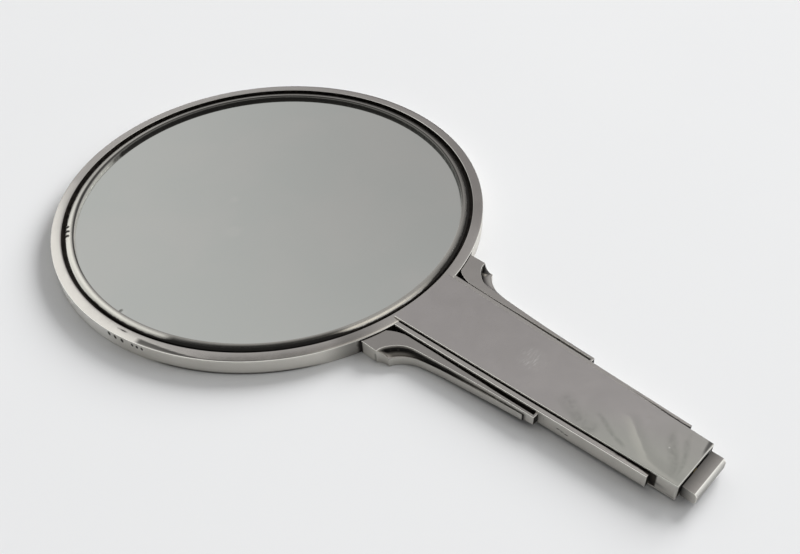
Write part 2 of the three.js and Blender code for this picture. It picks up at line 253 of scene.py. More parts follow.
def paint(piece, **layers):
    """Point attributes, each a number or a function of x, y, z and the normal's z."""
    mesh = piece.data
    count = len(mesh.vertices)
    x, y, z = (read_vertices(mesh, "co") / MM).T
    up = read_vertices(mesh, "normal")[:, 2]
    for key, layer in layers.items():
        values = layer(x, y, z, up) if callable(layer) else layer
        values = np.clip(np.broadcast_to(values, (count,)), 0, 1)
        attribute = mesh.attributes.new(key, "FLOAT", "POINT")
        attribute.data.foreach_set("value", values.astype(np.float32))


# ------------------------------------------------------------------ meshes
def new_mesh(name, verts, faces):
    mesh = bpy.data.meshes.new(name)
    mesh.from_pydata([tuple(np.array(vert, float) * MM) for vert in verts], [], faces)
    mesh.update()
    piece = bpy.data.objects.new(name, mesh)
    bpy.context.scene.collection.objects.link(piece)
    return piece


def clean(piece, distance=1e-7):
    """Merges vertices within a distance in metres and turns the faces outwards."""
    edit = bmesh.new()
    edit.from_mesh(piece.data)
    bmesh.ops.remove_doubles(edit, verts=edit.verts, dist=distance)
    bmesh.ops.dissolve_degenerate(edit, edges=edit.edges, dist=distance)
    bmesh.ops.recalc_face_normals(edit, faces=edit.faces)
    edit.to_mesh(piece.data)
    edit.free()
    return piece


def bake_modifiers(piece):
    graph = bpy.context.evaluated_depsgraph_get()
    graph.update()
    mesh = bpy.data.meshes.new_from_object(
        piece.evaluated_get(graph), preserve_all_data_layers=True, depsgraph=graph)
    old = piece.data
    piece.modifiers.clear()
    piece.data = mesh
    bpy.data.meshes.remove(old)
    mesh.name = piece.name


def add_bevel(piece, width, segments, **settings):
    modifier = piece.modifiers.new("bevel", "BEVEL")
    modifier.width = width * MM
    modifier.segments = segments
    for key, value in settings.items():
        setattr(modifier, key, value)


def full_turn(segments):
    return [2 * math.pi * i / segments for i in range(segments)]


def lathe(name, profile, angles, ends=False):
    """A closed profile of (radius, height), anticlockwise, turned round Z; ends leaves it cut."""
    count, size = len(angles), len(profile)
    verts = [(r * math.cos(a), r * math.sin(a), z) for a in angles for r, z in profile]
    faces = []
    for i in range(count - 1 if ends else count):
        k = (i + 1) % count
        for j in range(size):
            after = (j + 1) % size
            faces.append((i * size + j, k * size + j, k * size + after, i * size + after))
    if ends:
        faces.append(tuple(range(size)))
        faces.append(tuple(reversed(range((count - 1) * size, count * size))))
    return new_mesh(name, verts, faces)


def stack_faces(size, rows):
    """Two caps and the walls of a stack of rings with size points each."""
    faces = [tuple(reversed(range(size))), tuple(range(rows * size, rows * size + size))]
    for k in range(rows):
        for i in range(size):
            j = (i + 1) % size
            faces.append((k * size + i, k * size + j, (k + 1) * size + j, (k + 1) * size + i))
    return faces


def prism(name, outline, bottom, top, weight, width, segments, rows, step=3.0):
    """A bevelled solid on a closed outline; bottom is a height or a function of y.

    weight(kind, start, end) is an edge's share of the bevel width; kind is top, bottom or side.
    """
    outline = densify(outline, step)
    following = outline[1:] + outline[:1]
    if sum(a[0] * b[1] - b[0] * a[1] for a, b in zip(outline, following)) < 0:
        outline = outline[::-1]
    base = bottom if callable(bottom) else lambda y: bottom
    verts = []
    for k in range(rows + 1):
        t = k / rows
        verts += [(x, y, base(y) * (1 - t) + top * t) for x, y in outline]
    piece = new_mesh(name, verts, stack_faces(len(outline), rows))
    weigh_edges(piece.data, outline, rows, weight)
    add_bevel(piece, width, segments, limit_method="WEIGHT")
    return piece


def weigh_edges(mesh, outline, rows, weight):
    """Bevel weights for a prism; upright edges count where the outline turns sharply."""
    size = len(outline)
    attribute = mesh.attributes.new("bevel_weight_edge", "FLOAT", "EDGE")
    turns = []
    for i in range(size):
        before, here, after = (np.array(outline[k % size], float) for k in (i - 1, i, i + 1))
        u, v = here - before, after - here
        turns.append(abs(math.degrees(math.atan2(u[0] * v[1] - u[1] * v[0], u @ v))))
    values = np.zeros(len(mesh.edges), np.float32)
    for edge in mesh.edges:
        a, b = sorted(edge.vertices)
        row_a, row_b = a // size, b // size
        if row_a == row_b == rows:
            kind = "top"
        elif row_a == row_b == 0:
            kind = "bottom"
        elif row_a != row_b and turns[a % size] > 35:
            kind = "side"
        else:
            continue
        values[edge.index] = weight(kind, outline[a % size], outline[b % size])
    attribute.data.foreach_set("value", values)


def both_at(y, start, end):
    return abs(start[1] - y) < 0.01 and abs(end[1] - y) < 0.01


def finish_piece(piece, node, look, patina=0.0, shade=0.0):
    """Smooths, bakes and paints a piece, puts it on the root body and hides its CAD node."""
    piece.data.shade_smooth()
    piece.data.set_sharp_from_angle(angle=math.radians(62))
    modifier = piece.modifiers.new("normals", "WEIGHTED_NORMAL")
    modifier.mode = "FACE_AREA"
    modifier.weight = 50
    modifier.keep_sharp = True
    bake_modifiers(piece)
    paint(piece, patina=patina, shade=shade)
    piece.data.materials.clear()
    piece.data.materials.append(look)
    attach(piece, "root")
    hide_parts(node)


# ------------------------------------------------------------------ node helpers
class Net:
    """A node tree with short ways to add to it. Values may be numbers or sockets."""

    def __init__(self, tree):
        tree.nodes.clear()
        self.tree = tree
        self.count = 0

    def add(self, kind, **values):
        """A node; in_<name or index> feeds an input, other keys set properties."""
        node = self.tree.nodes.new(kind)
        node.location = (200 * (self.count % 8), -220 * (self.count // 8))
        self.count += 1
        for key, value in values.items():
            if key.startswith("in_"):
                self.feed(node, key[3:], value)
            else:
                setattr(node, key, value)
        return node

    def feed(self, node, key, value):
        """Links or sets one input; a colour of three parts gets alpha 1."""
        socket = node.inputs[int(key) if key.isdigit() else key.replace("_", " ")]
        if isinstance(value, bpy.types.NodeSocket):
            self.tree.links.new(value, socket)
        elif socket.type == "RGBA" and len(value) == 3:
            socket.default_value = (*value, 1.0)
        else:
            socket.default_value = value

    def surface(self, **inputs):
        for key, value in inputs.items():
            self.feed(self.shader, key, value)

    def math(self, operation, first, second=0.0, clamp=False):
        return self.add("ShaderNodeMath", operation=operation, use_clamp=clamp,
                        in_0=first, in_1=second).outputs[0]

    def mul(self, first, second, clamp=False):
        return self.math("MULTIPLY", first, second, clamp)

    def mul_add(self, value, factor, addend):
        return self.add("ShaderNodeMath", operation="MULTIPLY_ADD",
                        in_0=value, in_1=factor, in_2=addend).outputs[0]

    def waver(self, base, texture, amount):
        """The base shifted up and down by a noise."""
        return self.mul_add(self.math("SUBTRACT", texture, 0.5), amount, base)

    def ramp(self, value, start, end, low=0.0, high=1.0, kind="SMOOTHSTEP"):
        """low at start, high at end; start may be above end."""
        return self.add("ShaderNodeMapRange", interpolation_type=kind, in_0=value,
                        in_1=start, in_2=end, in_3=low, in_4=high).outputs[0]

    def line(self, value, start, end, low, high):
        return self.ramp(value, start, end, low, high, kind="LINEAR")

    def mix(self, amount, first, second):
        return self.add("ShaderNodeMix", data_type="RGBA", clamp_factor=True,
                        in_0=amount, in_6=first, in_7=second).outputs[2]

    def mix_value(self, amount, first, second):
        return self.add("ShaderNodeMix", data_type="FLOAT",
                        in_0=amount, in_2=first, in_3=second).outputs[0]

    def stain(self, colour, tone, mask, amount):
        """The colour with an amount of another tone where the mask is 1."""
        return self.mix(self.mul(mask, amount), colour, tone)

    def noise(self, vector, scale=1.0, detail=2.0, rough=0.5, distort=0.0):
        return self.add("ShaderNodeTexNoise", noise_dimensions="3D", in_Scale=scale,
                        in_Detail=detail, in_Roughness=rough, in_Distortion=distort,
                        in_Vector=vector).outputs["Fac"]

    def mapping(self, vector, scale, turn=0.0):
        """The vector scaled, and turned round Z in radians."""
        return self.add("ShaderNodeMapping", in_Vector=vector, in_Scale=scale,
                        in_Rotation=(0, 0, turn)).outputs["Vector"]

    def vector_math(self, operation, first, second=(0, 0, 0)):
        return self.add("ShaderNodeVectorMath", operation=operation,
                        in_0=first, in_1=second).outputs["Value"]

    def split(self, vector):
        return tuple(self.add("ShaderNodeSeparateXYZ", in_0=vector).outputs)

    def flatness(self):
        """1 on level faces, 0 on upright ones."""
        normal = self.add("ShaderNodeNewGeometry").outputs["Normal"]
        return self.math("ABSOLUTE", self.split(normal)[2])

    def attribute(self, name):
        return self.add("ShaderNodeAttribute", attribute_name=name).outputs["Fac"]

    def bump(self, height, strength, distance, **normal):
        return self.add("ShaderNodeBump", in_Strength=strength, in_Distance=distance,
                        in_Height=height, **normal).outputs[0]

    def track(self, x, y, line):
        """Distance in x from a curve of (x, y) in mm with y falling, and a mask along it."""
        xs, ys = zip(*line)
        left, width = min(xs), max(xs) - min(xs)
        drop = ys[-1] - ys[0]
        along = self.line(y, ys[0], ys[-1], 0.0, 1.0)
        node = self.add("ShaderNodeFloatCurve", in_Value=along)
        points = node.mapping.curves[0].points
        spots = [((py - ys[0]) / drop, (px - left) / width) for px, py in line]
        points[0].location = spots[0]
        for spot in spots[1:-1]:
            points.new(*spot)
        points[len(points) - 1].location = spots[-1]
        node.mapping.update()
        centre = self.mul_add(node.outputs[0], width, left)
        soft = 0.18 * abs(drop)
        mask = self.mul(self.ramp(y, ys[0] + soft, ys[0] - soft),
                        self.ramp(y, ys[-1] - soft * 0.5, ys[-1] + soft * 0.5))
        return self.math("SUBTRACT", x, centre), mask


def material(name):
    """A material with an empty Principled surface, its net, and the place on the object."""
    look = bpy.data.materials.new(name)
    look.use_nodes = True
    net = Net(look.node_tree)
    net.output = net.add("ShaderNodeOutputMaterial")
    net.shader = net.add("ShaderNodeBsdfPrincipled")
    net.feed(net.output, "Surface", net.shader.outputs[0])
    return look, net, net.add("ShaderNodeTexCoord").outputs["Object"]


# ------------------------------------------------------------------ silver
def silver(name, tint=(0.72, 0.685, 0.665), rough=(0.10, 0.20), grain=(900, 60, 900),
           wave=1.0, marks=None):
    """Hand-polished silver: cloudy wear, hairline scratches, and dark patina, painted shade and
    painted reflections where the attributes say.

    rough is the range on flat faces, grain the scratch density along each axis, wave the
    strength of the slow unevenness, and marks adds to the colour and roughness.
    """
    look, net, place = material(name)
    patina = net.attribute("patina")
    shade = net.attribute("shade")
    flat = net.flatness()
    wall = net.ramp(flat, 0.62, 0.22)
    cloud = net.noise(place, scale=90, detail=4, rough=0.55, distort=0.6)
    mottle = net.noise(place, scale=620, detail=5, rough=0.62, distort=0.3)
    speck = net.noise(place, scale=2600, detail=3, rough=0.6)
    scratches = net.noise(net.mapping(place, scale=grain), detail=4, rough=0.7)
    crossing = net.mapping(place, scale=tuple(part * 0.8 for part in grain), turn=0.62)
    cross = net.noise(crossing, detail=3, rough=0.65)
    # the patina's edge is broken up by the mottling
    edge = net.waver(patina, mottle, 0.75)
    dark = net.mul(net.ramp(edge, 0.22, 0.80), net.ramp(patina, 0.0, 0.12), clamp=True)
    gain = 1.0  # overall strength of the patina
    dark = net.mul(dark, gain, clamp=True)
    dull = tuple(part * 0.97 for part in tint)
    bright = tuple(min(1, part * 1.02) for part in tint)
    colour = net.mix(net.ramp(cloud, 0.32, 0.70), dull, bright)
    # rounded edges get a lighter tone, a painted highlight on rubbed edges; satin walls have
    # their own tones
    colour = net.mix(net.ramp(flat, 0.985, 0.80), colour, (0.95, 0.935, 0.90))
    colour = net.mix(wall, colour, (0.70, 0.68, 0.635))
    warm = (tint[0] * 0.80, tint[1] * 0.76, tint[2] * 0.70)
    colour = net.mix(net.ramp(mottle, 0.58, 0.74, 0.0, 0.20), colour, warm)
    pits = net.mul(net.ramp(speck, 0.705, 0.745), net.ramp(cloud, 0.45, 0.62), clamp=True)
    colour = net.stain(colour, (0.10, 0.09, 0.08), pits, 0.5)
    tar = net.mix(net.ramp(mottle, 0.35, 0.7), (0.014, 0.012, 0.011), (0.055, 0.047, 0.040))
    colour = net.mix(dark, colour, tar)
    # painted shade and painted reflections: the shade attribute darkens the colour
    colour = net.stain(colour, (0.022, 0.021, 0.020), shade, 0.96)
    matt = net.line(cloud, 0.3, 0.72, *rough)
    matt = net.math("ADD", matt, net.line(scratches, 0.45, 0.72, 0.0, 0.05))
    matt = net.mix_value(wall, matt, net.line(cloud, 0.3, 0.7, 0.40, 0.50))
    matt = net.mix_value(dark, matt, net.line(mottle, 0.3, 0.7, 0.38, 0.62))
    if marks:
        colour, matt = marks(net, place, colour, matt)
    net.surface(
        Base_Color=colour,
        Roughness=matt,
        Metallic=net.mix_value(dark, net.mix_value(wall, 1.0, 0.62), 0.55),
        Specular_IOR_Level=net.mix_value(dark, 0.5, 0.15),
        IOR=1.5,
    )
    slow = net.bump(net.noise(place, scale=45), strength=0.35 * wave, distance=0.00006)
    hairs = net.math("ADD", scratches, net.mul(cross, 0.5))
    fine = net.bump(hairs, strength=0.10, distance=0.000010, in_Normal=slow)
    crust = net.mul(mottle, net.math("ADD", dark, 0.10))
    net.surface(Normal=net.bump(crust, strength=0.25, distance=0.00003, in_Normal=fine))
    return look


def rim_painted_light(net, place, colour, matt):
    """Painted light: the rim's outer wall is painted paler on its -X side."""
    patina = net.attribute("patina")
    wall = net.ramp(net.flatness(), 0.5, 0.2)
    x, y, _ = net.split(place)
    paler_lit = net.mul(net.ramp(x, -0.058, -0.073), wall)
    paler_lit = net.mul(paler_lit, net.ramp(patina, 0.30, 0.05), clamp=True)
    paler_lit = net.mul(paler_lit, net.ramp(y, -0.017, -0.004), clamp=True)
    return net.stain(colour, (0.94, 0.93, 0.90), paler_lit, 0.85), matt


# Light streak on the front plate, (x, y) in mm.
STREAK = [
    (1.6, -147.0), (0.3, -149.2), (-1.7, -151.5), (-3.5, -153.9), (-5.6, -156.3),
    (-7.2, -158.9), (-8.0, -162.0), (-8.3, -165.0), (-8.3, -168.0),
]
# Dark streaks on the front plate: course as (x, y) in mm, half width in mm, strength.
DARK_STREAKS = [
    ([(-2.9, -140.4), (-4.2, -143.0), (-5.4, -145.6), (-6.6, -148.2), (-7.9, -151.4)], 1.3, 0.36),
    ([(4.2, -158.6), (1.2, -161.0), (-1.8, -163.2), (-5.4, -165.8)], 4.0, 0.30),
    ([(6.0, -162.6), (2.8, -164.2), (-0.2, -165.4), (-4.2, -166.8)], 3.6, 0.30),
    ([(-4.6, -129.5), (-6.2, -133.6), (-7.8, -137.6), (-8.9, -142.6)], 4.0, 0.30),
]


def plate_marks(net, place, colour, matt):
    """A light streak and dark streaks near the plate's -Y end, and a patch of fine scratches."""
    x, y, _ = net.split(net.mapping(place, scale=(1000, 1000, 1000)))
    soft = net.noise(net.mapping(place, scale=(260, 90, 1), turn=0.5), detail=3, rough=0.55)
    wander = net.waver(x, soft, 1.6)
    # greenish cast on the -X side, then a duller tone at the very end
    leaning = net.mul_add(y, 0.12, wander)
    cast = net.mul(net.ramp(y, -124.0, -150.0), net.ramp(leaning, -14.0, -25.0), clamp=True)
    colour = net.stain(colour, (0.725, 0.735, 0.68), cast, 0.75)
    colour = net.stain(colour, (0.67, 0.665, 0.625), net.ramp(y, -148.0, -166.0), 0.6)
    # the streak is sharp on its +X side, fades towards -X, and has a shadow beyond the sharp side
    away, along = net.track(wander, y, STREAK)
    light = net.mul(net.ramp(away, -4.2, 0.0), net.ramp(away, 0.55, -0.15), clamp=True)
    fading = net.mul(along, net.ramp(y, -162.0, -153.0, 0.30, 1.0))
    colour = net.stain(colour, (0.99, 0.97, 0.89), net.mul(light, fading), 0.55)
    shadow = net.mul(net.ramp(away, 0.2, 1.1), net.ramp(away, 5.0, 1.3), clamp=True)
    colour = net.stain(colour, (0.48, 0.48, 0.45), net.mul(shadow, along), 0.30)
    blotch = net.noise(place, scale=520, detail=5, rough=0.65, distort=0.5)
    blotch = net.ramp(blotch, 0.34, 0.66, 0.45, 1.25)
    for course, width, strength in DARK_STREAKS:
        away, along = net.track(wander, y, course)
        across = net.ramp(net.math("ABSOLUTE", away), width, 0.0)
        dark_streak = net.mul(across, net.mul(along, blotch))
        colour = net.stain(colour, (0.30, 0.31, 0.28), dark_streak, strength)
    # dark wedge in the +X corner of the end
    slanted = net.mul_add(x, -0.16, y)
    wedge = net.mul(net.ramp(slanted, -168.4, -169.2), net.ramp(x, 2.4, 6.0), clamp=True)
    wedge = net.mul(wedge, net.ramp(y, -168.62, -168.42), clamp=True)
    colour = net.stain(colour, (0.10, 0.10, 0.10), wedge, 0.80)
    speck = net.vector_math("DISTANCE", place, (0.00015, -0.16058, 0.0066))
    colour = net.mix(net.ramp(speck, 0.00032, 0.00012), colour, (1.0, 0.99, 0.96))
    # patch of fine scratches
    hair = net.noise(net.mapping(place, scale=(300, 3600, 1), turn=-0.95), detail=2, rough=0.6)
    patch = net.mapping(place, scale=(1, 1, 1))
    patch = net.vector_math("DISTANCE", patch, (0.0013, -0.1142, 0.0066))
    patch = net.ramp(net.waver(patch, soft, 0.003), 0.0058, 0.0010)
    hair = net.mul(net.ramp(hair, 0.53, 0.66), patch, clamp=True)
    colour = net.stain(colour, (1.0, 0.985, 0.97), hair, 0.85)
    colour = net.stain(colour, (0.92, 0.89, 0.87), patch, 0.20)
    return colour, matt


# ------------------------------------------------------------------ other materials
# Marks on the glass: centre, inner and outer radius in metres, tone, strength.
GLASS_MARKS = [
    ((-0.0662, -0.0040, 0), 0.00035, 0.0010, (0.25, 0.25, 0.23), 0.85),
    ((-0.0660, -0.0052, 0), 0.0004, 0.0016, (1.0, 1.0, 0.97), 0.35),
    ((-0.0063, 0.0119, 0), 0.0006, 0.0026, (1.0, 1.0, 0.98), 0.30),
    ((-0.0179, -0.0014, 0), 0.0010, 0.0042, (1.0, 1.0, 0.98), 0.35),
]


def glass_material():
    """Mirror glass with faint dust, a darkened edge and four marks."""
    look, net, place = material("mirror_glass")
    radius = net.vector_math("LENGTH", net.mapping(place, scale=(1, 1, 0)))
    cloud = net.noise(place, scale=28, detail=3, distort=0.4)
    fine = net.noise(place, scale=900, detail=3, rough=0.6)
    uneven = net.mul(net.math("SUBTRACT", cloud, 0.5), 0.004)
    edge = net.math("ADD", radius, uneven)
    colour = net.mix(net.ramp(cloud, 0.35, 0.68), (0.905, 0.93, 0.91), (0.935, 0.945, 0.925))
    colour = net.stain(colour, (0.80, 0.80, 0.78), net.ramp(fine, 0.70, 0.76), 0.25)
    colour = net.mix(net.ramp(edge, 0.0670, 0.0686, 0.0, 0.42), colour, (0.34, 0.37, 0.35))
    colour = net.mix(net.ramp(radius, 0.0685, 0.0692), colour, (0.05, 0.055, 0.05))
    for centre, inner, outer, tone, strength in GLASS_MARKS:
        away = net.vector_math("DISTANCE", net.mapping(place, scale=(1, 1, 0)), centre)
        spot = net.ramp(net.waver(away, fine, outer * 0.8), outer, inner)
        colour = net.stain(colour, tone, spot, strength)
    net.surface(
        Base_Color=colour,
        Metallic=1.0,
        Roughness=net.line(cloud, 0.3, 0.7, 0.015, 0.04),
        Coat_Weight=0.15,
        Coat_Roughness=0.02,
        Normal=net.bump(net.noise(place, scale=20, detail=1), strength=0.05, distance=0.00001),
    )
    return look


def coating_material():
    """Silvering with brown patches."""
    look, net, place = material("silvering")
    cloud = net.noise(place, scale=60, detail=5, rough=0.6, distort=0.5)
    net.surface(
        Base_Color=net.mix(net.ramp(cloud, 0.55, 0.72), (0.78, 0.76, 0.70), (0.33, 0.25, 0.17)),
        Metallic=0.9,
        Roughness=net.ramp(cloud, 0.3, 0.7, 0.18, 0.4),
        Normal=net.bump(net.noise(place, scale=1500), strength=0.2, distance=0.00002),
    )
    return look


def card_material():
    """Brown fibrous card with darker stains."""
    look, net, place = material("card")
    fibre = net.noise(net.mapping(place, scale=(1400, 300, 1400)), detail=4, rough=0.7)
    cloud = net.noise(place, scale=35, detail=4, rough=0.6)
    colour = net.mix(net.ramp(fibre, 0.35, 0.65), (0.36, 0.28, 0.19), (0.50, 0.41, 0.29))
    net.surface(
        Base_Color=net.mix(net.ramp(cloud, 0.5, 0.75, 0, 0.5), colour, (0.25, 0.18, 0.11)),
        Roughness=net.ramp(cloud, 0.3, 0.7, 0.8, 0.95),
        Normal=net.bump(fibre, strength=0.4, distance=0.00005),
    )
    return look


def felt_material():
    """Dark red-brown felt."""
    look, net, place = material("felt")
    hair = net.mapping(place, scale=(1800, 700, 1800), turn=0.4)
    hair = net.noise(hair, detail=5, rough=0.75, distort=1.5)
    nap = net.noise(place, scale=160, detail=3, rough=0.6)
    colour = net.mix(net.ramp(hair, 0.35, 0.68), (0.12, 0.075, 0.065), (0.27, 0.18, 0.16))
    net.surface(
        Base_Color=net.mix(net.ramp(nap, 0.45, 0.7, 0, 0.35), colour, (0.17, 0.11, 0.10)),
        Roughness=net.ramp(nap, 0.3, 0.7, 0.9, 1.0),
        Sheen_Weight=0.5,
        Normal=net.bump(hair, strength=0.7, distance=0.0001),
    )
    return look


def brass_material():
    """Brass drawn along Y, with brown tarnish."""
    look, net, place = material("brass")
    scratches = net.noise(net.mapping(place, scale=(1500, 90, 1500)), detail=4, rough=0.7)
    cloud = net.noise(place, scale=160, detail=4, rough=0.6)
    colour = net.mix(net.ramp(cloud, 0.35, 0.7), (0.62, 0.45, 0.20), (0.74, 0.60, 0.33))
    net.surface(
        Base_Color=net.mix(net.ramp(cloud, 0.62, 0.78, 0, 0.7), colour, (0.24, 0.16, 0.08)),
        Metallic=1.0,
        Roughness=net.ramp(scratches, 0.3, 0.7, 0.22, 0.42),
        Normal=net.bump(scratches, strength=0.3, distance=0.00002),
    )
    return look


def wood_material():
    """Wood with its grain along Y."""
    look, net, place = material("core_wood")
    rings = net.add(
        "ShaderNodeTexWave", wave_type="BANDS", bands_direction="X",
        in_Scale=260.0, in_Distortion=5.0, in_Detail=3.0,
        in_Vector=net.mapping(place, scale=(1, 0.08, 1), turn=0.03)).outputs["Fac"]
    pores = net.noise(net.mapping(place, scale=(3200, 160, 3200)), detail=3, rough=0.6)
    colour = net.mix(rings, (0.36, 0.235, 0.125), (0.56, 0.41, 0.245))
    net.surface(
        Base_Color=net.mix(net.ramp(pores, 0.60, 0.70, 0, 0.6), colour, (0.17, 0.10, 0.05)),
        Roughness=net.ramp(pores, 0.3, 0.7, 0.5, 0.75),
        Normal=net.bump(pores, strength=0.4, distance=0.00005),
    )
    return look


SILVER = silver("polished_silver")
RIM_SILVER = silver("rim_silver", rough=(0.13, 0.22), grain=(260, 260, 900), marks=rim_painted_light)
BEZEL_SILVER = silver("bezel_silver", tint=(0.74, 0.715, 0.68), rough=(0.14, 0.26),
                      grain=(260, 260, 900), wave=1.4)
BLACK_SILVER = silver("oxidised_silver", tint=(0.11, 0.105, 0.10), rough=(0.35, 0.5),
                      grain=(400, 400, 400))
PLATE_SILVER = silver("plate_silver", tint=(0.72, 0.684, 0.680), rough=(0.09, 0.15),
                      marks=plate_marks)
GLASS = glass_material()
COATING = coating_material()
CARD = card_material()
FELT = felt_material()
BRASS = brass_material()
WOOD = wood_material()

# ------------------------------------------------------------------ head
# Punch dents on the rim's outer wall: angle in degrees, height, radius, depth.
PUNCHES = [
    (-172.8, 4.15, 0.95, 0.24), (-170.8, 4.05, 0.95, 0.24), (-168.6, 4.0, 0.95, 0.24),
    (-165.5, 4.1, 0.72, 0.20), (-164.1, 4.05, 0.72, 0.20), (-162.7, 4.0, 0.72, 0.20),
]
PUNCH_FROM, PUNCH_TO = -175, -161  # degrees, finely divided
PUNCH_NARROWING = 0.72  # width over height


def near_punch(angle, z):
    """Depth below the rim's wall and darkness, from the angle in degrees and the height."""
    depth, dark = np.zeros_like(z), np.zeros_like(z)
    for centre, height, radius, deep in PUNCHES:
        arc = np.radians((angle - centre + 180) % 360 - 180) * RIM_R / PUNCH_NARROWING
        away = np.hypot(arc, z - height) / radius
        depth = np.maximum(depth, deep * fall(away, 0.35, 1.0))
        dark = np.maximum(dark, fall(away, 0.55, 1.15))
    return depth, dark


def rim_profile():
    """An upright wall under a gently domed lip, as (radius, height)."""
    top, skirt, ledge = RIM_TOP, RIM_R - 1.3, RIM_TOP - 1.6
    wall = [(RIM_R, z) for z in np.arange(0.7, top - 0.75, 0.18)]
    # the dome is walked outwards, steepening from 1.6 degrees
    dome, r, z, stride = [], RIM_IN + 0.45, top, 0.28
    while r < RIM_R - 0.35:
        dome.append((r, z))
        slope = math.radians(1.6 + 7.2 * (max(0.0, r - RIM_IN) / 3.2) ** 1.6)
        r, z = r + stride, z - stride * math.tan(slope)
    return fillet(
        [(skirt, 0.0), (RIM_R, 0.0), *wall, (RIM_R, top - 0.27), *dome[::-1],
         (RIM_IN, top), (RIM_IN, ledge), (skirt, ledge)],
        [0.12, 0.6] + [0] * len(wall) + [0.30] + [0] * len(dome) + [0.22, 0.05, 0], 6)


def build_rim():
    top = RIM_TOP
    coarse = [a for a in np.arange(-180, 180, 1.0) if not PUNCH_FROM <= a <= PUNCH_TO]
    fine = list(np.arange(PUNCH_FROM, PUNCH_TO + 1e-6, 0.12))
    angles = sorted(math.radians(a) for a in coarse + fine)
    piece = lathe("rim_band_polished", rim_profile(), angles)
    # press the punches into the wall
    points = read_vertices(piece.data, "co")
    x, y, z = (points / MM).T
    r, angle = polar(x, y)
    depth, _ = near_punch(angle, z)
    points[:, :2] *= np.where(r > RIM_R - 0.02, (r - depth) / r, 1.0)[:, None]
    piece.data.vertices.foreach_set("co", points.astype(np.float32).ravel())

    def patina(x, y, z, up):
        r, angle = polar(x, y)
        inner = fall(r, RIM_IN + 0.02, RIM_IN + 0.30) * fall(z, top - 0.16, top - 0.03)
        under = fall(r, RIM_R - 1.25, RIM_R - 1.0) * fall(z, top - 1.5, top - 1.3)
        dents = near_punch(angle, z)[1] * (r > RIM_R - 0.5)
        # grime where the shoulders and rails meet the rim
        joint = fall(np.abs(angle + 90), 20.5, 21.5) * rise(r, RIM_R - 0.2, RIM_R - 0.02)
        joint = joint * fall(z, top - 0.7, top - 0.3)
        # painted shade: the outer wall darkens towards its foot
        foot = 0.35 * fall(z, 0.1, 0.8) * rise(r, RIM_R - 0.3, RIM_R)
        smudge = np.exp(-((angle + 169.4) * 1.27 / 2.6) ** 2 - ((r - 72.75) / 0.45) ** 2)
        return strongest(inner, under, dents, joint, foot, 0.8 * smudge * (z > top - 0.3))

    # Painted shade and painted reflections: dark bands on the top, a painted contact shadow at
    # the foot, darker by the handle
    def shade(x, y, z, up):
        r, angle = polar(x, y)
        # painted reflection: a long lens-shaped dark band on the outer part of the top
        inner = 73.0 + 1.75 * rise(angle, -164, -143)
        lens = 0.86 * band(angle, -165.2, -163.4, -150, -141) * (z > top - 0.35)
        lens = lens * band(r, inner - 0.10, inner + 0.16, RIM_R - 0.35, RIM_R - 0.12)
        foot = (0.14 - 0.14 * rise(np.abs(angle), 150, 172)) * fall(z, 0.2, 2.6)
        foot = foot * (r > RIM_R - 0.4)
        contact = 0.92 * band(angle, -164, -154, -128, -114) * fall(z, 0.45, 1.15)
        contact = contact * (r > RIM_R - 0.8)
        near_joint = 0.34 * band(angle, -118, -113, -112, -100) * (z > top - 0.8)
        beside = 0.55 * band(angle, -121, -112.5, -108, -104)
        beside = beside * (r > RIM_R - 0.3) * (z < top - 0.4)
        right_top = 0.20 * band(angle, -66, -50, -30, -5) * (z > top - 0.3)
        return strongest(lens, foot, contact, near_joint, beside, right_top)

    finish_piece(piece, "rim_band", RIM_SILVER, patina, shade)


def build_seat():
    lo, hi = cad("seat_ring")
    bore = 69.65
    profile = [(bore, lo[2]), (hi[0], lo[2]), (hi[0], hi[2]), (bore, hi[2])]
    piece = lathe("seat_ring_dark", fillet(profile, [0.12] * 4, 3), full_turn(240))
    finish_piece(piece, "seat_ring", BLACK_SILVER, patina=0.92)


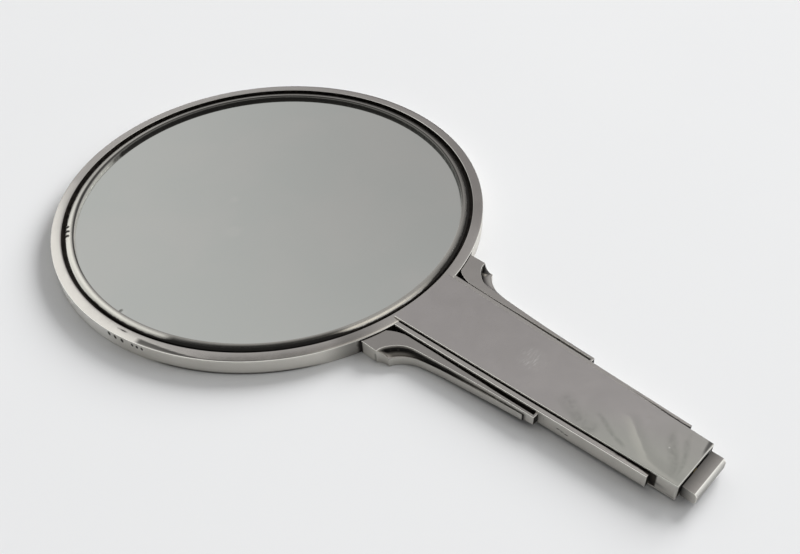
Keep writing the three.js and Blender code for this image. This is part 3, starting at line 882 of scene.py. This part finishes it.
def build_bezel():
    """A rounded ring over the glass's edge, cut through at one angle."""
    top, base = BEZEL_HI[2], BEZEL_LO[2]
    out, bore = BEZEL_OUT, BEZEL_IN
    section = [
        (bore, base), (out, base), (out, top - 0.95), (out - 0.05, top - 0.72),
        (out - 0.22, top - 0.52), (out - 0.5, top - 0.35), (out - 0.85, top - 0.21),
        (out - 1.25, top - 0.10), (out - 1.65, top - 0.03), (out - 2.05, top),
        (out - 2.4, top - 0.005), (bore + 0.36, top - 0.04), (bore + 0.18, top - 0.12),
        (bore + 0.06, top - 0.24), (bore, top - 0.42), (bore, top - 0.8),
    ]
    gap = SPLIT_HALF_GAP / BEZEL_MID
    count = 359
    angles = [SPLIT + gap + (2 * math.pi - 2 * gap) * k / count for k in range(count + 1)]
    piece = lathe("bezel_ring_burnished", section, angles, ends=True)

    def patina(x, y, z, up):
        r, angle = polar(x, y)
        turn = angle % 360
        left = band(turn, 118, 140, 164, 178)
        outer_edge = rise(r, out - 0.75, out - 0.12) * fall(z, top - 0.40, top - 0.16)
        outer_edge = outer_edge * (1 - 0.85 * left)
        upper_left = band(angle, 98, 116, 150, 165)
        inner_edge = fall(r, bore + 0.02, bore + 0.12) * fall(z, top - 0.55, top - 0.28)
        inner_edge = inner_edge * (1 - 0.9 * upper_left)
        lower = band(angle, -160.5, -156.0, -116, -108)
        right = fall(np.abs(angle + 2), 74, 94)
        near_split = band(angle, -114, -108, -96, -90)
        creeping = band(turn, 160, 184, 244, 252)
        # the dark outer slope is partly tarnish and partly painted shade and reflection; its
        # reach follows the angle
        start = out - 0.42 - 0.75 * creeping - 0.5 * lower - 1.4 * right
        start = start - 0.5 * near_split + 0.34 * left
        slope = 0.95 * rise(r, start, start + 0.75 + 0.5 * right + 0.35 * creeping)
        dots = np.zeros_like(r)
        for dot_angle, dot_r in ((142.6, 69.7), (144.4, 69.65), (146.1, 69.7)):
            arc = np.radians((angle - dot_angle + 180) % 360 - 180) * BEZEL_MID
            dots = np.maximum(dots, fall(np.hypot(arc, (r - dot_r) * 0.6), 0.42, 0.80))
        return strongest(outer_edge, inner_edge, slope, dots)

    # Painted shade and painted reflections: dark bands by angle on the lower, right and far sides
    # and on the inner slope
    def shade(x, y, z, up):
        r, angle = polar(x, y)
        turn = angle % 360
        lower = band(angle, -160.0, -156.5, -117, -109)
        right = fall(np.abs(angle + 2), 74, 94)
        upper_right = band(angle, -66, -36, 128, 150)
        lower_left = (1 - upper_right) * (1 - 0.85 * rise(turn, 158, 174))
        creeping = 0.62 * band(turn, 140, 186, 244, 252) * rise(r, out - 1.55, out - 0.45)
        upper_left = band(angle, 98, 116, 150, 165) * fall(z, top - 0.50, top - 0.36)
        inward = 0.92 * upper_right * fall(r, bore + 0.68, bore + 1.1)
        inward = inward + 0.88 * lower_left * fall(r, bore + 0.30, bore + 0.52)
        return strongest(0.95 * lower * rise(r, bore + 0.1, bore + 1.7),
                         0.80 * right * rise(r, bore + 0.5, out - 0.9),
                         inward * (1 - 0.85 * upper_left), creeping)

    finish_piece(piece, "bezel_ring", BEZEL_SILVER, patina, shade)


def build_back():
    """A disc whose underside steps up twice towards its edge."""
    _, (radius, _, top) = cad("head_back_plate")
    steps = [
        (0.001, 0.0), (20, 0.0), (40, 0.0), (60.0, 0.0), (60.4, 0.25), (66.4, 0.25),
        (66.8, 0.5), (radius, 0.5), (radius, top), (40, top), (0.001, top),
    ]
    rounding = [0, 0, 0, 0.14, 0.14, 0.14, 0.14, 0.1, 0.1, 0, 0]
    piece = lathe("head_back_plate_polished", fillet(steps, rounding, 4), full_turn(300))
    clean(piece, 2e-6)

    def patina(x, y, z, up):
        r, _ = polar(x, y)
        first = fall(np.abs(r - 60.5), 0.15, 0.8) * rise(z, 0.12, 0.26) * (z < 0.3)
        second = fall(np.abs(r - 66.9), 0.15, 0.8) * rise(z, 0.36, 0.51) * (z < 0.6)
        return strongest(first, second, rise(r, 73.0, 73.5), 0.8 * (z > 0.7))

    finish_piece(piece, "head_back_plate", RIM_SILVER, patina)


def build_disc(name, node, look, edge, wobble=0.0):
    """A flat layer of the head with an edge radius; wobble dents both faces."""
    (_, _, z0), (radius, _, z1) = cad(node)
    rings = [0.001] + [radius * k / 24 for k in range(1, 24)]
    rim = fillet([(0, z0), (radius, z0), (radius, z1), (0, z1)], [0, edge, edge, 0], 4)[1:-1]
    profile = [(r, z0) for r in rings] + rim + [(r, z1) for r in reversed(rings)]
    piece = lathe(name, profile, full_turn(240))
    if wobble:
        for vert in piece.data.vertices:
            on_top = vert.co.z > (z0 + z1) / 2 * MM
            spot = Vector((vert.co.x * 160, vert.co.y * 160, 3.0 if on_top else 9.0))
            dent = wobble * MM * (0.5 + 0.5 * noise.noise(spot))
            vert.co.z += -dent if on_top else dent
    clean(piece, 2e-6)
    finish_piece(piece, node, look)


build_rim()
build_seat()
build_bezel()
build_back()
build_disc("mirror_glass_plate", "mirror_glass", GLASS, edge=0.12)
build_disc("silver_coating", "mirror_silvering", COATING, edge=0.03)
build_disc("backing_card_sheet", "backing_card", CARD, edge=0.1, wobble=0.04)
build_disc("felt_packing", "felt_pad", FELT, edge=0.12, wobble=0.08)


# ------------------------------------------------------------------ handle box
def build_front_plate():
    """A tapering plate whose head end curves in towards its middle."""
    middle_y = -72.32
    head = []
    for i in range(25):
        u = i / 12 - 1
        head.append((u * HALF_HEAD, middle_y + (PLATE_HEAD - middle_y) * u * u))
    outline = [(-HALF_END, PLATE_END), (HALF_END, PLATE_END)] + head[::-1]

    def weight(kind, start, end):
        y = (start[1] + end[1]) / 2
        if kind == "side":
            return 0.6 if y < -160 else 0.25
        if kind == "bottom":
            return 0.06
        if both_at(PLATE_END, start, end):
            return 1.3
        return 0.35 if y > -73 else 0.75

    piece = prism("front_plate_polished", outline, PLATE_LO[2], PLATE_HI[2], weight,
                  width=0.38, segments=4, rows=2)

    def patina(x, y, z, up):
        under = 0.9 * (z < PLATE_LO[2] + 0.02) * (np.abs(up) > 0.9)
        head_foot = 0.55 * (y > -73) * fall(z, PLATE_LO[2] + 0.1, PLATE_LO[2] + 0.45)
        return np.maximum(under, head_foot)

    finish_piece(piece, "handle_front_plate", PLATE_SILVER, patina)


def build_back_plate():
    lo, hi = cad("handle_back_plate")
    half = plate_half(meets(plate_half))
    outline = [(-HALF_END, PLATE_END), (HALF_END, PLATE_END), *head_arc(half, -half, 24)]
    weights = {"bottom": 0.7, "top": 0.06, "side": 0.5}
    piece = prism("back_plate_polished", outline, lo[2], hi[2],
                  lambda kind, start, end: weights[kind], width=0.3, segments=4, rows=2)

    def patina(x, y, z, up):
        rail_end = RAIL_LO[1]
        # painted shade: a dark band across the plate's edge where the rails end
        rail_end_shade = band(y, rail_end - 1.7, rail_end - 1.0, rail_end + 0.6, rail_end + 1.4)
        return np.maximum(0.9 * (up > 0.9), 0.97 * (up > -0.5) * rail_end_shade)

    finish_piece(piece, "handle_back_plate", SILVER, patina)


def build_sides():
    half = plate_half(meets(plate_half))
    wall = 1.1
    base = [*head_arc(half, half - wall, 3), (HALF_END - wall, PLATE_END), (HALF_END, PLATE_END)]

    def weight(kind, start, end):
        if kind == "side":
            return 1.0 if start[1] < -160 and abs(start[0]) > HALF_END - 0.5 else 0.08
        return 0.06

    def patina(x, y, z, up):
        # painted shade: dark behind the rails and a little past their ends, on the inner faces,
        # and towards the foot
        outside = np.abs(x) > plate_half(y) - 0.35
        hidden = rise(y, RAIL_LO[1] - 2.1, RAIL_LO[1] - 1.3)
        return np.where(outside, np.maximum(hidden, 0.45 * fall(z, 1.1, 1.7)), 0.85)

    def shade(x, y, z, up):
        # a slanting dark streak at the -Y end, and painted shade darkening towards the foot
        centre = 3.1 + (y + 162.0) * 0.16
        dark_streak = 0.62 * np.exp(-((z - centre) / 0.55) ** 2) * rise(y, -168.0, -162.6)
        return np.maximum(dark_streak, 0.12 * fall(z, 1.3, 3.0))

    for side, word in SIDES:
        piece = prism(f"box_side_{word}", mirrored(base, side), BOX_LO[2], BOX_HI[2], weight,
                      width=0.50, segments=5, rows=8, step=0.8)
        finish_piece(piece, f"handle_side_{word}", SILVER, patina, shade)


def drill(piece, y0, y1):
    """Cuts the round hole along Y through the piece."""
    size = 48
    verts = [(HOLE_R * math.cos(a), y, HOLE_Z + HOLE_R * math.sin(a))
             for y in (y0, y1) for a in full_turn(size)]
    faces = [tuple(range(size)), tuple(reversed(range(size, 2 * size)))]
    for i in range(size):
        j = (i + 1) % size
        faces.append((i, i + size, j + size, j))
    tool = clean(new_mesh("hole_tool", verts, faces))
    cut = piece.modifiers.new("hole", "BOOLEAN")
    cut.operation = "DIFFERENCE"
    cut.solver = "EXACT"
    cut.object = tool
    bake_modifiers(piece)
    bpy.data.objects.remove(tool)


def build_end_wall():
    """A plate across the inside of the box."""
    (_, y0, z0), (_, y1, z1) = cad("handle_end_wall")
    inset = 1.16
    end, head = plate_half(y0) - inset, plate_half(y1) - inset
    piece = prism("end_wall_plate", [(-end, y0), (end, y0), (head, y1), (-head, y1)], z0, z1,
                  lambda kind, start, end: 0.2, width=0.25, segments=2, rows=3)
    bake_modifiers(piece)
    drill(piece, y0 - 1, y1 + 1)
    finish_piece(piece, "handle_end_wall", SILVER, patina=0.8)


def build_end_block():
    """A bar across X with a chamfered -Y top edge."""
    (x0, y0, z0), (x1, y1, z1) = BLOCK_LO, BLOCK_HI
    section = fillet(
        [(y1, z0), (y1, z1), (y0 + 0.86, z1), (y0, z1 - 0.92), (y0, z0 + 0.45), (y0 + 0.4, z0)],
        [0.12, 0.16, 0.42, 0.30, 0.3, 0.2], 5)
    slices = 30
    verts = [(x, y, z) for x in np.linspace(x0, x1, slices + 1) for y, z in section]
    piece = clean(new_mesh("end_block_polished", verts, stack_faces(len(section), slices)))
    add_bevel(piece, width=0.24, segments=4, limit_method="ANGLE", angle_limit=math.radians(60))
    bake_modifiers(piece)
    drill(piece, -171.8, y1 + 1)

    def patina(x, y, z, up):
        return 0.9 * rise(y, y1 - 0.10, y1 - 0.02)

    # Painted shade and painted reflection: chamfer greyer, top darker next to the plate, sides
    # darker towards the handle
    def shade(x, y, z, up):
        wide = np.abs(x)
        chamfer = 0.50 * fall(z, z1 - 0.42, z1 - 0.20) * (y < y0 + 0.9) * (wide < x1 - 0.15)
        top = (z > z1 - 0.05) * (0.22 + 0.60 * rise(y, y1 - 1.2, y1))
        sides = (wide > x1 - 0.05) * rise(y, y0 + 0.5, y0 + 3.6)
        return strongest(chamfer, top, sides)

    finish_piece(piece, "end_block", SILVER, patina, shade)


# ------------------------------------------------------------------ rails
# Dark marks on the left rail's outer face: y, z, half length, half height, strength.
RAIL_MARKS = [
    (-128.7, 4.1, 0.45, 0.40, 0.70), (-133.5, 3.5, 0.75, 0.34, 0.85),
    (-134.9, 3.2, 0.80, 0.30, 1.0), (-136.2, 2.92, 0.80, 0.26, 0.85),
    (-148.5, 2.6, 3.6, 0.16, 0.34), (-155.0, 3.1, 3.0, 0.14, 0.30),
]


def build_rails():
    top, end_y = RAIL_HI[2], RAIL_LO[1]
    head = head_arc(rail_outer(meets(rail_outer)), rail_inner(meets(rail_inner)), 6)
    base = [*head, (rail_inner(end_y), end_y), (rail_outer(end_y), end_y)]

    def bottom(y):
        return between(y, -74.0, -161.0, 0.48, 1.35)

    def weight(kind, start, end):
        if kind == "side":
            return 0.22 if start[1] < -150 else 0.1
        if kind == "bottom":
            return 0.25
        if both_at(end_y, start, end):
            return 0.12
        outer = all(abs(abs(x) - rail_outer(y)) < 0.05 for x, y in (start, end))
        return 0.95 if outer and start[1] != end[1] else 0.22

    # painted shade: the end face dark, and the outer face darker towards the foot
    def shade(x, y, z, up):
        foot = 0.14 * (np.abs(x) > rail_outer(y) - 0.02) * fall(z, 0.9, 2.7)
        return np.maximum(0.95 * (y < end_y + 0.02), foot)

    for side, word in SIDES:
        piece = prism(f"rail_{word}_polished", mirrored(base, side), bottom, top, weight,
                      width=0.60, segments=5, rows=10, step=0.6)

        def patina(x, y, z, up):
            wide = np.abs(x)
            outward = wide > rail_outer(y) - 0.02
            inward = (wide < rail_inner(y) + 0.02) * fall(z, top - 0.25, top - 0.05)
            slot = outward * rise(y, -127.6, -126.0) * fall(z, top - 0.95, top - 0.35)
            # painted shadow on the end face
            end = (y < end_y + 0.02) * 0.98
            marks = np.zeros(len(x))
            for mark_y, mark_z, length, height, strength in RAIL_MARKS if side < 0 else ():
                spread = -((y - mark_y) / length) ** 2 - ((z - mark_z) / height) ** 2
                marks = np.maximum(marks, strength * np.exp(spread))
            # painted shade: darker towards the foot
            foot = 0.25 * outward * fall(z, 1.3, 2.2)
            tarnish = 0.95 * (z > top - 0.2) * rise(y, -149.0, -153.0)
            tarnish = tarnish * fall(wide - rail_inner(y), 0.35, 0.85)
            return strongest(inward, slot, end, marks * outward, foot, tarnish)

        finish_piece(piece, f"inner_rail_{word}", SILVER, patina, shade)


# ------------------------------------------------------------------ shoulders
SWEEP = spline(UPPER_SWEEP, 88)
INNER_EDGE = spline(UPPER_INNER[:7], 40) + UPPER_INNER[7:]


def build_upper():
    top, tail_y = UP_HI[2], UP_LO[1]
    base = [
        *head_arc(UPPER_INNER[0][0], UP_HI[0], 10), *SWEEP,
        (rail_outer(tail_y) + SHOULDER_GAP, tail_y),
        (rail_outer(SLOT_END_Y) + SHOULDER_GAP, SLOT_END_Y), *INNER_EDGE[1:][::-1],
    ]

    def bottom(y):
        return between(y, -70.5, -126.9, 0.05, 1.90)

    def weight(kind, start, end):
        if kind == "side":
            return 0.95 if abs(start[0]) > 25 and start[1] < -75 else 0.22
        if kind == "bottom":
            return 0.3
        x, y = (abs(start[0]) + abs(end[0])) / 2, (start[1] + end[1]) / 2
        return 0.90 if distance_to(SWEEP, x, y) < 1.2 or x > 25.5 else 0.4

    def patina(x, y, z, up):
        wide = np.abs(x)
        to_inner, to_sweep = distance_to(INNER_EDGE, wide, y), distance_to(SWEEP, wide, y)
        wall = np.abs(up) < 0.5
        below = fall(z, top - 0.38, top - 0.12)
        slot = (to_inner < 1.4) & (to_inner <= to_sweep) & wall
        head = (np.hypot(wide, y) < JOIN_R + 0.25) & wall
        # painted shadow on the tail's end face
        tail = (y < tail_y + 0.03) * (z < top - 0.2)
        return strongest(slot * below, 0.9 * head * below, 0.98 * tail)

    for side, word in SIDES:
        piece = prism(f"upper_shoulder_{word}", mirrored(base, side), bottom, top, weight,
                      width=0.42, segments=4, rows=8, step=1.2)

        def shade(x, y, z, up):
            wide = np.abs(x)
            near = distance_to(SWEEP, wide, y) < 0.3
            # painted shade: a dark crescent under the sweep's top edge, starting nearer the tip
            # on the right
            start = rise(25.3 - wide, 0.0, 1.2) if side < 0 else rise(25.5 - wide, -0.3, 0.4)
            crescent = near * rise(y, -112, -98) * (wide < 25.5)
            crescent = crescent * fall(z, top - 0.85, top - 0.40) * start
            low = lower_top(y)
            seam = 0.6 * near * (y > LOW_LO[1] - 0.2) * fall(z, low + 0.1, low + 0.45)
            # painted shadow on the tail's end face, and painted shade on the top face, more on
            # the left
            tail = 0.95 * (y < tail_y + 0.03) * (z < top - 0.2)
            level = (0.28 if side < 0 else 0.08) * (z > top - 0.03)
            return strongest(crescent, seam, tail, level)

        finish_piece(piece, f"shoulder_upper_{word}", SILVER, patina, shade)


def lower_lines():
    """The lower shoulder's outer line, its partner line on the contact, and the dense contact."""
    tail_y = LOW_LO[1]
    contact = [point for point in offset(SWEEP, SHOULDER_GAP) if point[1] > tail_y]
    i = next(k for k, point in enumerate(SWEEP) if point[1] <= tail_y)
    (ax, ay), (bx, by) = SWEEP[i - 1], SWEEP[i]
    contact.append((ax + (tail_y - ay) / (by - ay) * (bx - ax) + SHOULDER_GAP, tail_y))
    outer = spline([contact[0], *LOWER_SCALLOP], 14) + spline(LOWER_SWEEP, 90)[1:]
    dense = np.array(densify(contact, 0.15, closed=False))
    # the nearest contact point to each outer point, never going back
    partners, at = [], 0
    for point in outer:
        away = np.hypot(*(dense - np.array(point)).T)
        at += min(int(np.argmin(away[at:])), 40)
        partners.append(at)
    places = np.array(partners, float)
    places[0], places[-1] = 0, len(dense) - 1
    # even out runs of equal partners
    for _ in range(30):
        places[1:-1] = (places[:-2] + 2 * places[1:-1] + places[2:]) / 4
    index = np.arange(len(dense))
    partner = np.stack([np.interp(places, index, dense[:, axis]) for axis in (0, 1)], 1)
    return np.array(outer), partner, dense


def build_lower():
    """A hollowed step outside the upper shoulder, rising to its tip."""
    outer, partner, dense = lower_lines()
    count, across, rows = len(outer), 10, 5
    tip_x, tip_y = UP_HI[0], UPPER_SWEEP[0][1]

    def top(x, y, u, width):
        """Height at a share u of the width from the contact line."""
        near_tip = max(0.0, 1 - math.hypot(x - tip_x, y - tip_y) / 5.0)
        hollow = 0.34 * min(1.0, width / 4.5) * math.sin(math.pi * min(1, u * 1.12))
        return lower_top(y) + 1.9 * near_tip * near_tip - hollow * (1 - near_tip) + 0.05 * u

    def bottom(y):
        return between(y, LOWER_SWEEP[0][1], LOWER_SWEEP[-1][1], 0.16, 1.60)

    def patina(x, y, z, up):
        wide = np.abs(x)
        away = distance_to(dense[::3], wide, y)
        crevice = 0.55 * (up > 0.5) * fall(away, 0.05, 0.45) * rise(26.0 - wide, 1.2, 3.2)
        # painted shade: darker towards the foot of the walls
        foot = 0.3 * (np.abs(up) < 0.5) * fall(z, 0.2, 1.0)
        return strongest(crevice, 0.98 * (y < LOW_LO[1] + 0.03), foot)

    for side, word in SIDES:
        verts, grid = [], {}  # grid: (along, across, row) to vertex, row 0 at the bottom
        for i in range(count):
            width = float(np.hypot(*(outer[i] - partner[i])))
            for j in range(across + 1):
                u = j / across
                x, y = partner[i] * (1 - u) + outer[i] * u
                high, low = top(x, y, u, width), bottom(y)
                on_wall = j in (0, across) or i in (0, count - 1)
                for k in (rows, 0, *(range(1, rows) if on_wall else ())):
                    grid[i, j, k] = len(verts)
                    verts.append((x * side, y, low + (high - low) * k / rows))
        faces = []
        for i in range(count - 1):
            n = i + 1
            for j in range(across):
                faces.append([grid[spot] for spot in (
                    (i, j, rows), (n, j, rows), (n, j + 1, rows), (i, j + 1, rows))])
                faces.append([grid[spot] for spot in (
                    (i, j, 0), (i, j + 1, 0), (n, j + 1, 0), (n, j, 0))])
            for j in (0, across):
                for k in range(rows):
                    faces.append([grid[spot] for spot in (
                        (i, j, k), (n, j, k), (n, j, k + 1), (i, j, k + 1))])
        for i in (0, count - 1):
            for j in range(across):
                for k in range(rows):
                    faces.append([grid[spot] for spot in (
                        (i, j, k), (i, j + 1, k), (i, j + 1, k + 1), (i, j, k + 1))])
        piece = clean(new_mesh(f"lower_shoulder_{word}", verts, faces), 3e-6)
        add_bevel(piece, width=0.28, segments=4, limit_method="ANGLE",
                  angle_limit=math.radians(38))

        # painted shade: dark in the cove along the upper shoulder, on the tail's end face, and
        # towards the foot
        def shade(x, y, z, up):
            wide = np.abs(x)
            away = distance_to(dense[::3], wide, y)
            reach = 0.3 + 0.7 * rise(y, -104, -90)
            start = rise(26.0 - wide, 1.4, 3.4) if side < 0 else rise(26.0 - wide, 0.1, 1.0)
            cove = 0.92 * np.exp(-(away / (0.35 + 1.0 * reach)) ** 2)
            cove = (cove + 0.30 * reach * fall(away, 0.8, 3.6)) * start
            foot = (np.abs(up) < 0.5) * (0.08 + 0.20 * fall(z, 0.4, 2.6))
            tail = 0.95 * (y < LOW_LO[1] + 0.03)
            return strongest(np.minimum(cove, 1) * (up > 0.5), tail, foot)

        finish_piece(piece, f"shoulder_lower_{word}", SILVER, patina, shade)


def build_webs():
    """Dark floors of the slots between the rails and the upper shoulders."""
    gap, end_y = 0.1, -126.1

    def rail_side(y):
        return rail_outer(y) + gap

    line = [(x - gap, y) for x, y in INNER_EDGE]
    base = [
        *head_arc(rail_side(meets(rail_side)), line[0][0] - 0.15, 5), *line[1:-1],
        (line[-1][0], end_y), (rail_side(end_y), end_y),
    ]
    for side, word in SIDES:
        piece = prism(f"slot_web_{word}_dark", mirrored(base, side), WEB_LO[2], WEB_HI[2],
                      lambda kind, start, end: 0.2, width=0.2, segments=2, rows=2, step=2.0)
        finish_piece(piece, f"slot_web_{word}", BLACK_SILVER, patina=0.95)


build_front_plate()
build_back_plate()
build_sides()
build_end_wall()
build_end_block()
build_rails()
build_upper()
build_lower()
build_webs()

# Pieces that keep their CAD meshes.
for node, look in (("handle_tang", BRASS), ("end_spigot", BRASS), ("handle_core", WOOD)):
    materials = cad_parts[node].data.materials
    materials.clear()
    materials.append(look)

# ------------------------------------------------------------------ table
scene = bpy.context.scene
scene.view_settings.view_transform = "Standard"
scene.view_settings.look = "None"
scene.view_settings.exposure = 0.0
scene.view_settings.gamma = 1.0

PAPER = (0.83, 0.84, 0.85)  # what the camera sees far off


def table_material():
    """Matt white that fades into the background colour far from the mirror."""
    look, net, place = material("table_white")
    net.surface(
        Base_Color=net.mix(net.noise(place, scale=9, detail=3),
                           (0.795, 0.80, 0.805), (0.815, 0.82, 0.822)),
        Roughness=0.75,
        Specular_IOR_Level=0.15,
    )
    far = net.ramp(net.vector_math("LENGTH", place), 0.75, 2.6)
    camera_ray = net.add("ShaderNodeLightPath").outputs["Is Camera Ray"]
    paper = net.add("ShaderNodeEmission", in_Color=PAPER, in_Strength=1.0)
    blend = net.add("ShaderNodeMixShader", in_0=net.mul(far, camera_ray, clamp=True),
                    in_1=net.shader.outputs[0], in_2=paper.outputs[0])
    net.feed(net.output, "Surface", blend.outputs[0])
    return look


REACH = 4000
floor = new_mesh(
    "table_top",
    [(-REACH, -REACH, 0), (REACH, -REACH, 0), (REACH, REACH, 0), (-REACH, REACH, 0)],
    [(0, 1, 2, 3)])
floor.location.z = -0.00002
floor.data.materials.append(table_material())

# ------------------------------------------------------------------ world
# Patches seen in reflections: azimuth from +Y towards +X, elevation, full and faded angle
# from the centre, all in degrees, then colour. Later patches cover earlier ones.
PATCHES = [
    (56, 33, 2, 30, (0.345, 0.34, 0.335)),
    (-62, 18, 38, 50, (0.86, 0.86, 0.83)),
    (143, 14, 30, 44, (0.86, 0.86, 0.845)),
    (226, 4, 30, 46, (0.85, 0.84, 0.80)),
    (62, -6, 22, 35, (0.10, 0.095, 0.10)),
    (-8, 78, 14, 20, (0.08, 0.08, 0.08)),
    (34, 62, 6, 13, (0.24, 0.24, 0.23)),
    (76, 67, 7, 12, (1.05, 1.02, 0.92)),
    (-8, 38, 20, 23.5, (1.06, 1.08, 1.03)),
]


def toward(azimuth, elevation):
    a, e = math.radians(azimuth), math.radians(elevation)
    return (math.sin(a) * math.cos(e), math.cos(a) * math.cos(e), math.sin(e))


def build_world():
    """The patches for reflections, a plain colour for the camera, soft light for the rest."""
    world = bpy.data.worlds.new("room")
    scene.world = world
    world.use_nodes = True
    net = Net(world.node_tree)
    ray = net.add("ShaderNodeTexCoord").outputs["Generated"]
    seen = net.mix(1.0, (0, 0, 0), (0.475, 0.475, 0.465))
    for azimuth, elevation, inner, outer, tone in PATCHES:
        direction = tuple(Vector(toward(azimuth, elevation)).normalized())
        angle = net.math("ARCCOSINE", net.vector_math("DOT_PRODUCT", ray, direction))
        patch = net.ramp(angle, math.radians(outer), math.radians(inner))
        seen = net.mix(patch, seen, tone)
    path = net.add("ShaderNodeLightPath")
    facing = net.vector_math("DOT_PRODUCT", ray, toward(70, 30))
    ambient = net.mix(net.ramp(facing, -0.25, 0.80),
                      (0.085, 0.085, 0.084), (0.625, 0.622, 0.620))
    soft = net.mix(path.outputs["Is Camera Ray"], ambient, PAPER)
    colour = net.mix(path.outputs["Is Glossy Ray"], soft, seen)
    background = net.add("ShaderNodeBackground", in_Color=colour, in_Strength=1.0)
    net.add("ShaderNodeOutputWorld", in_Surface=background.outputs[0])


build_world()

# ------------------------------------------------------------------ lights
# Disc lights: name, location and target in metres, diameter, watts, colour.
LIGHTS = [
    ("window", (8.4, 0.45, 4.25), (0, -0.05, 0), 5.4, 1090, (0.993, 0.992, 1.0)),
    ("second window", (4.05, 7.2, 5.7), (0, -0.05, 0), 4.8, 40, (1.0, 1.0, 1.0)),
    ("third window", (5.4, -6.9, 5.1), (0, -0.08, 0), 5.4, 215, (0.975, 0.99, 1.0)),
    ("left fill", (-8.0, -2.6, 2.3), (0, -0.05, 0), 5.4, 26, (1.0, 1.0, 0.995)),
]
for name, location, aim, diameter, watts, tone in LIGHTS:
    data = bpy.data.lights.new(name, "AREA")
    data.shape = "DISK"
    data.size = diameter
    data.energy = watts
    data.color = tone
    light = bpy.data.objects.new(name, data)
    scene.collection.objects.link(light)
    light.location = location
    direction = Vector(aim) - Vector(location)
    light.rotation_euler = direction.to_track_quat("-Z", "Y").to_euler()
    light.visible_glossy = False
    light.visible_camera = False

# ------------------------------------------------------------------ camera
# It looks at a point on the head's -Y side, from the -X, -Y side and above. Angles in radians.
AZIMUTH, ELEVATION, ROLL = -0.79963765, 0.75717414, -0.03539180
TARGET = Vector((1.84698228, -60.95667721, 5.95)) * MM
DISTANCE = 308.791821195
SENSOR, FOCAL_LENGTH = 36.0, 43.32869721

back = Vector((math.sin(AZIMUTH) * math.cos(ELEVATION),
               -math.cos(AZIMUTH) * math.cos(ELEVATION), math.sin(ELEVATION)))
level = Vector((0, 0, 1)).cross(back).normalized()
upright = back.cross(level)
right = level * math.cos(ROLL) + upright * math.sin(ROLL)
above = upright * math.cos(ROLL) - level * math.sin(ROLL)
position = TARGET + back * (DISTANCE * MM)
camera = bpy.data.objects.new("camera", bpy.data.cameras.new("camera"))
scene.collection.objects.link(camera)
camera.matrix_world = Matrix((
    (right.x, above.x, back.x, position.x),
    (right.y, above.y, back.y, position.y),
    (right.z, above.z, back.z, position.z),
    (0, 0, 0, 1),
))
camera.data.sensor_width = SENSOR
camera.data.lens = FOCAL_LENGTH
camera.data.clip_start = 0.005
camera.data.clip_end = 20
scene.camera = camera
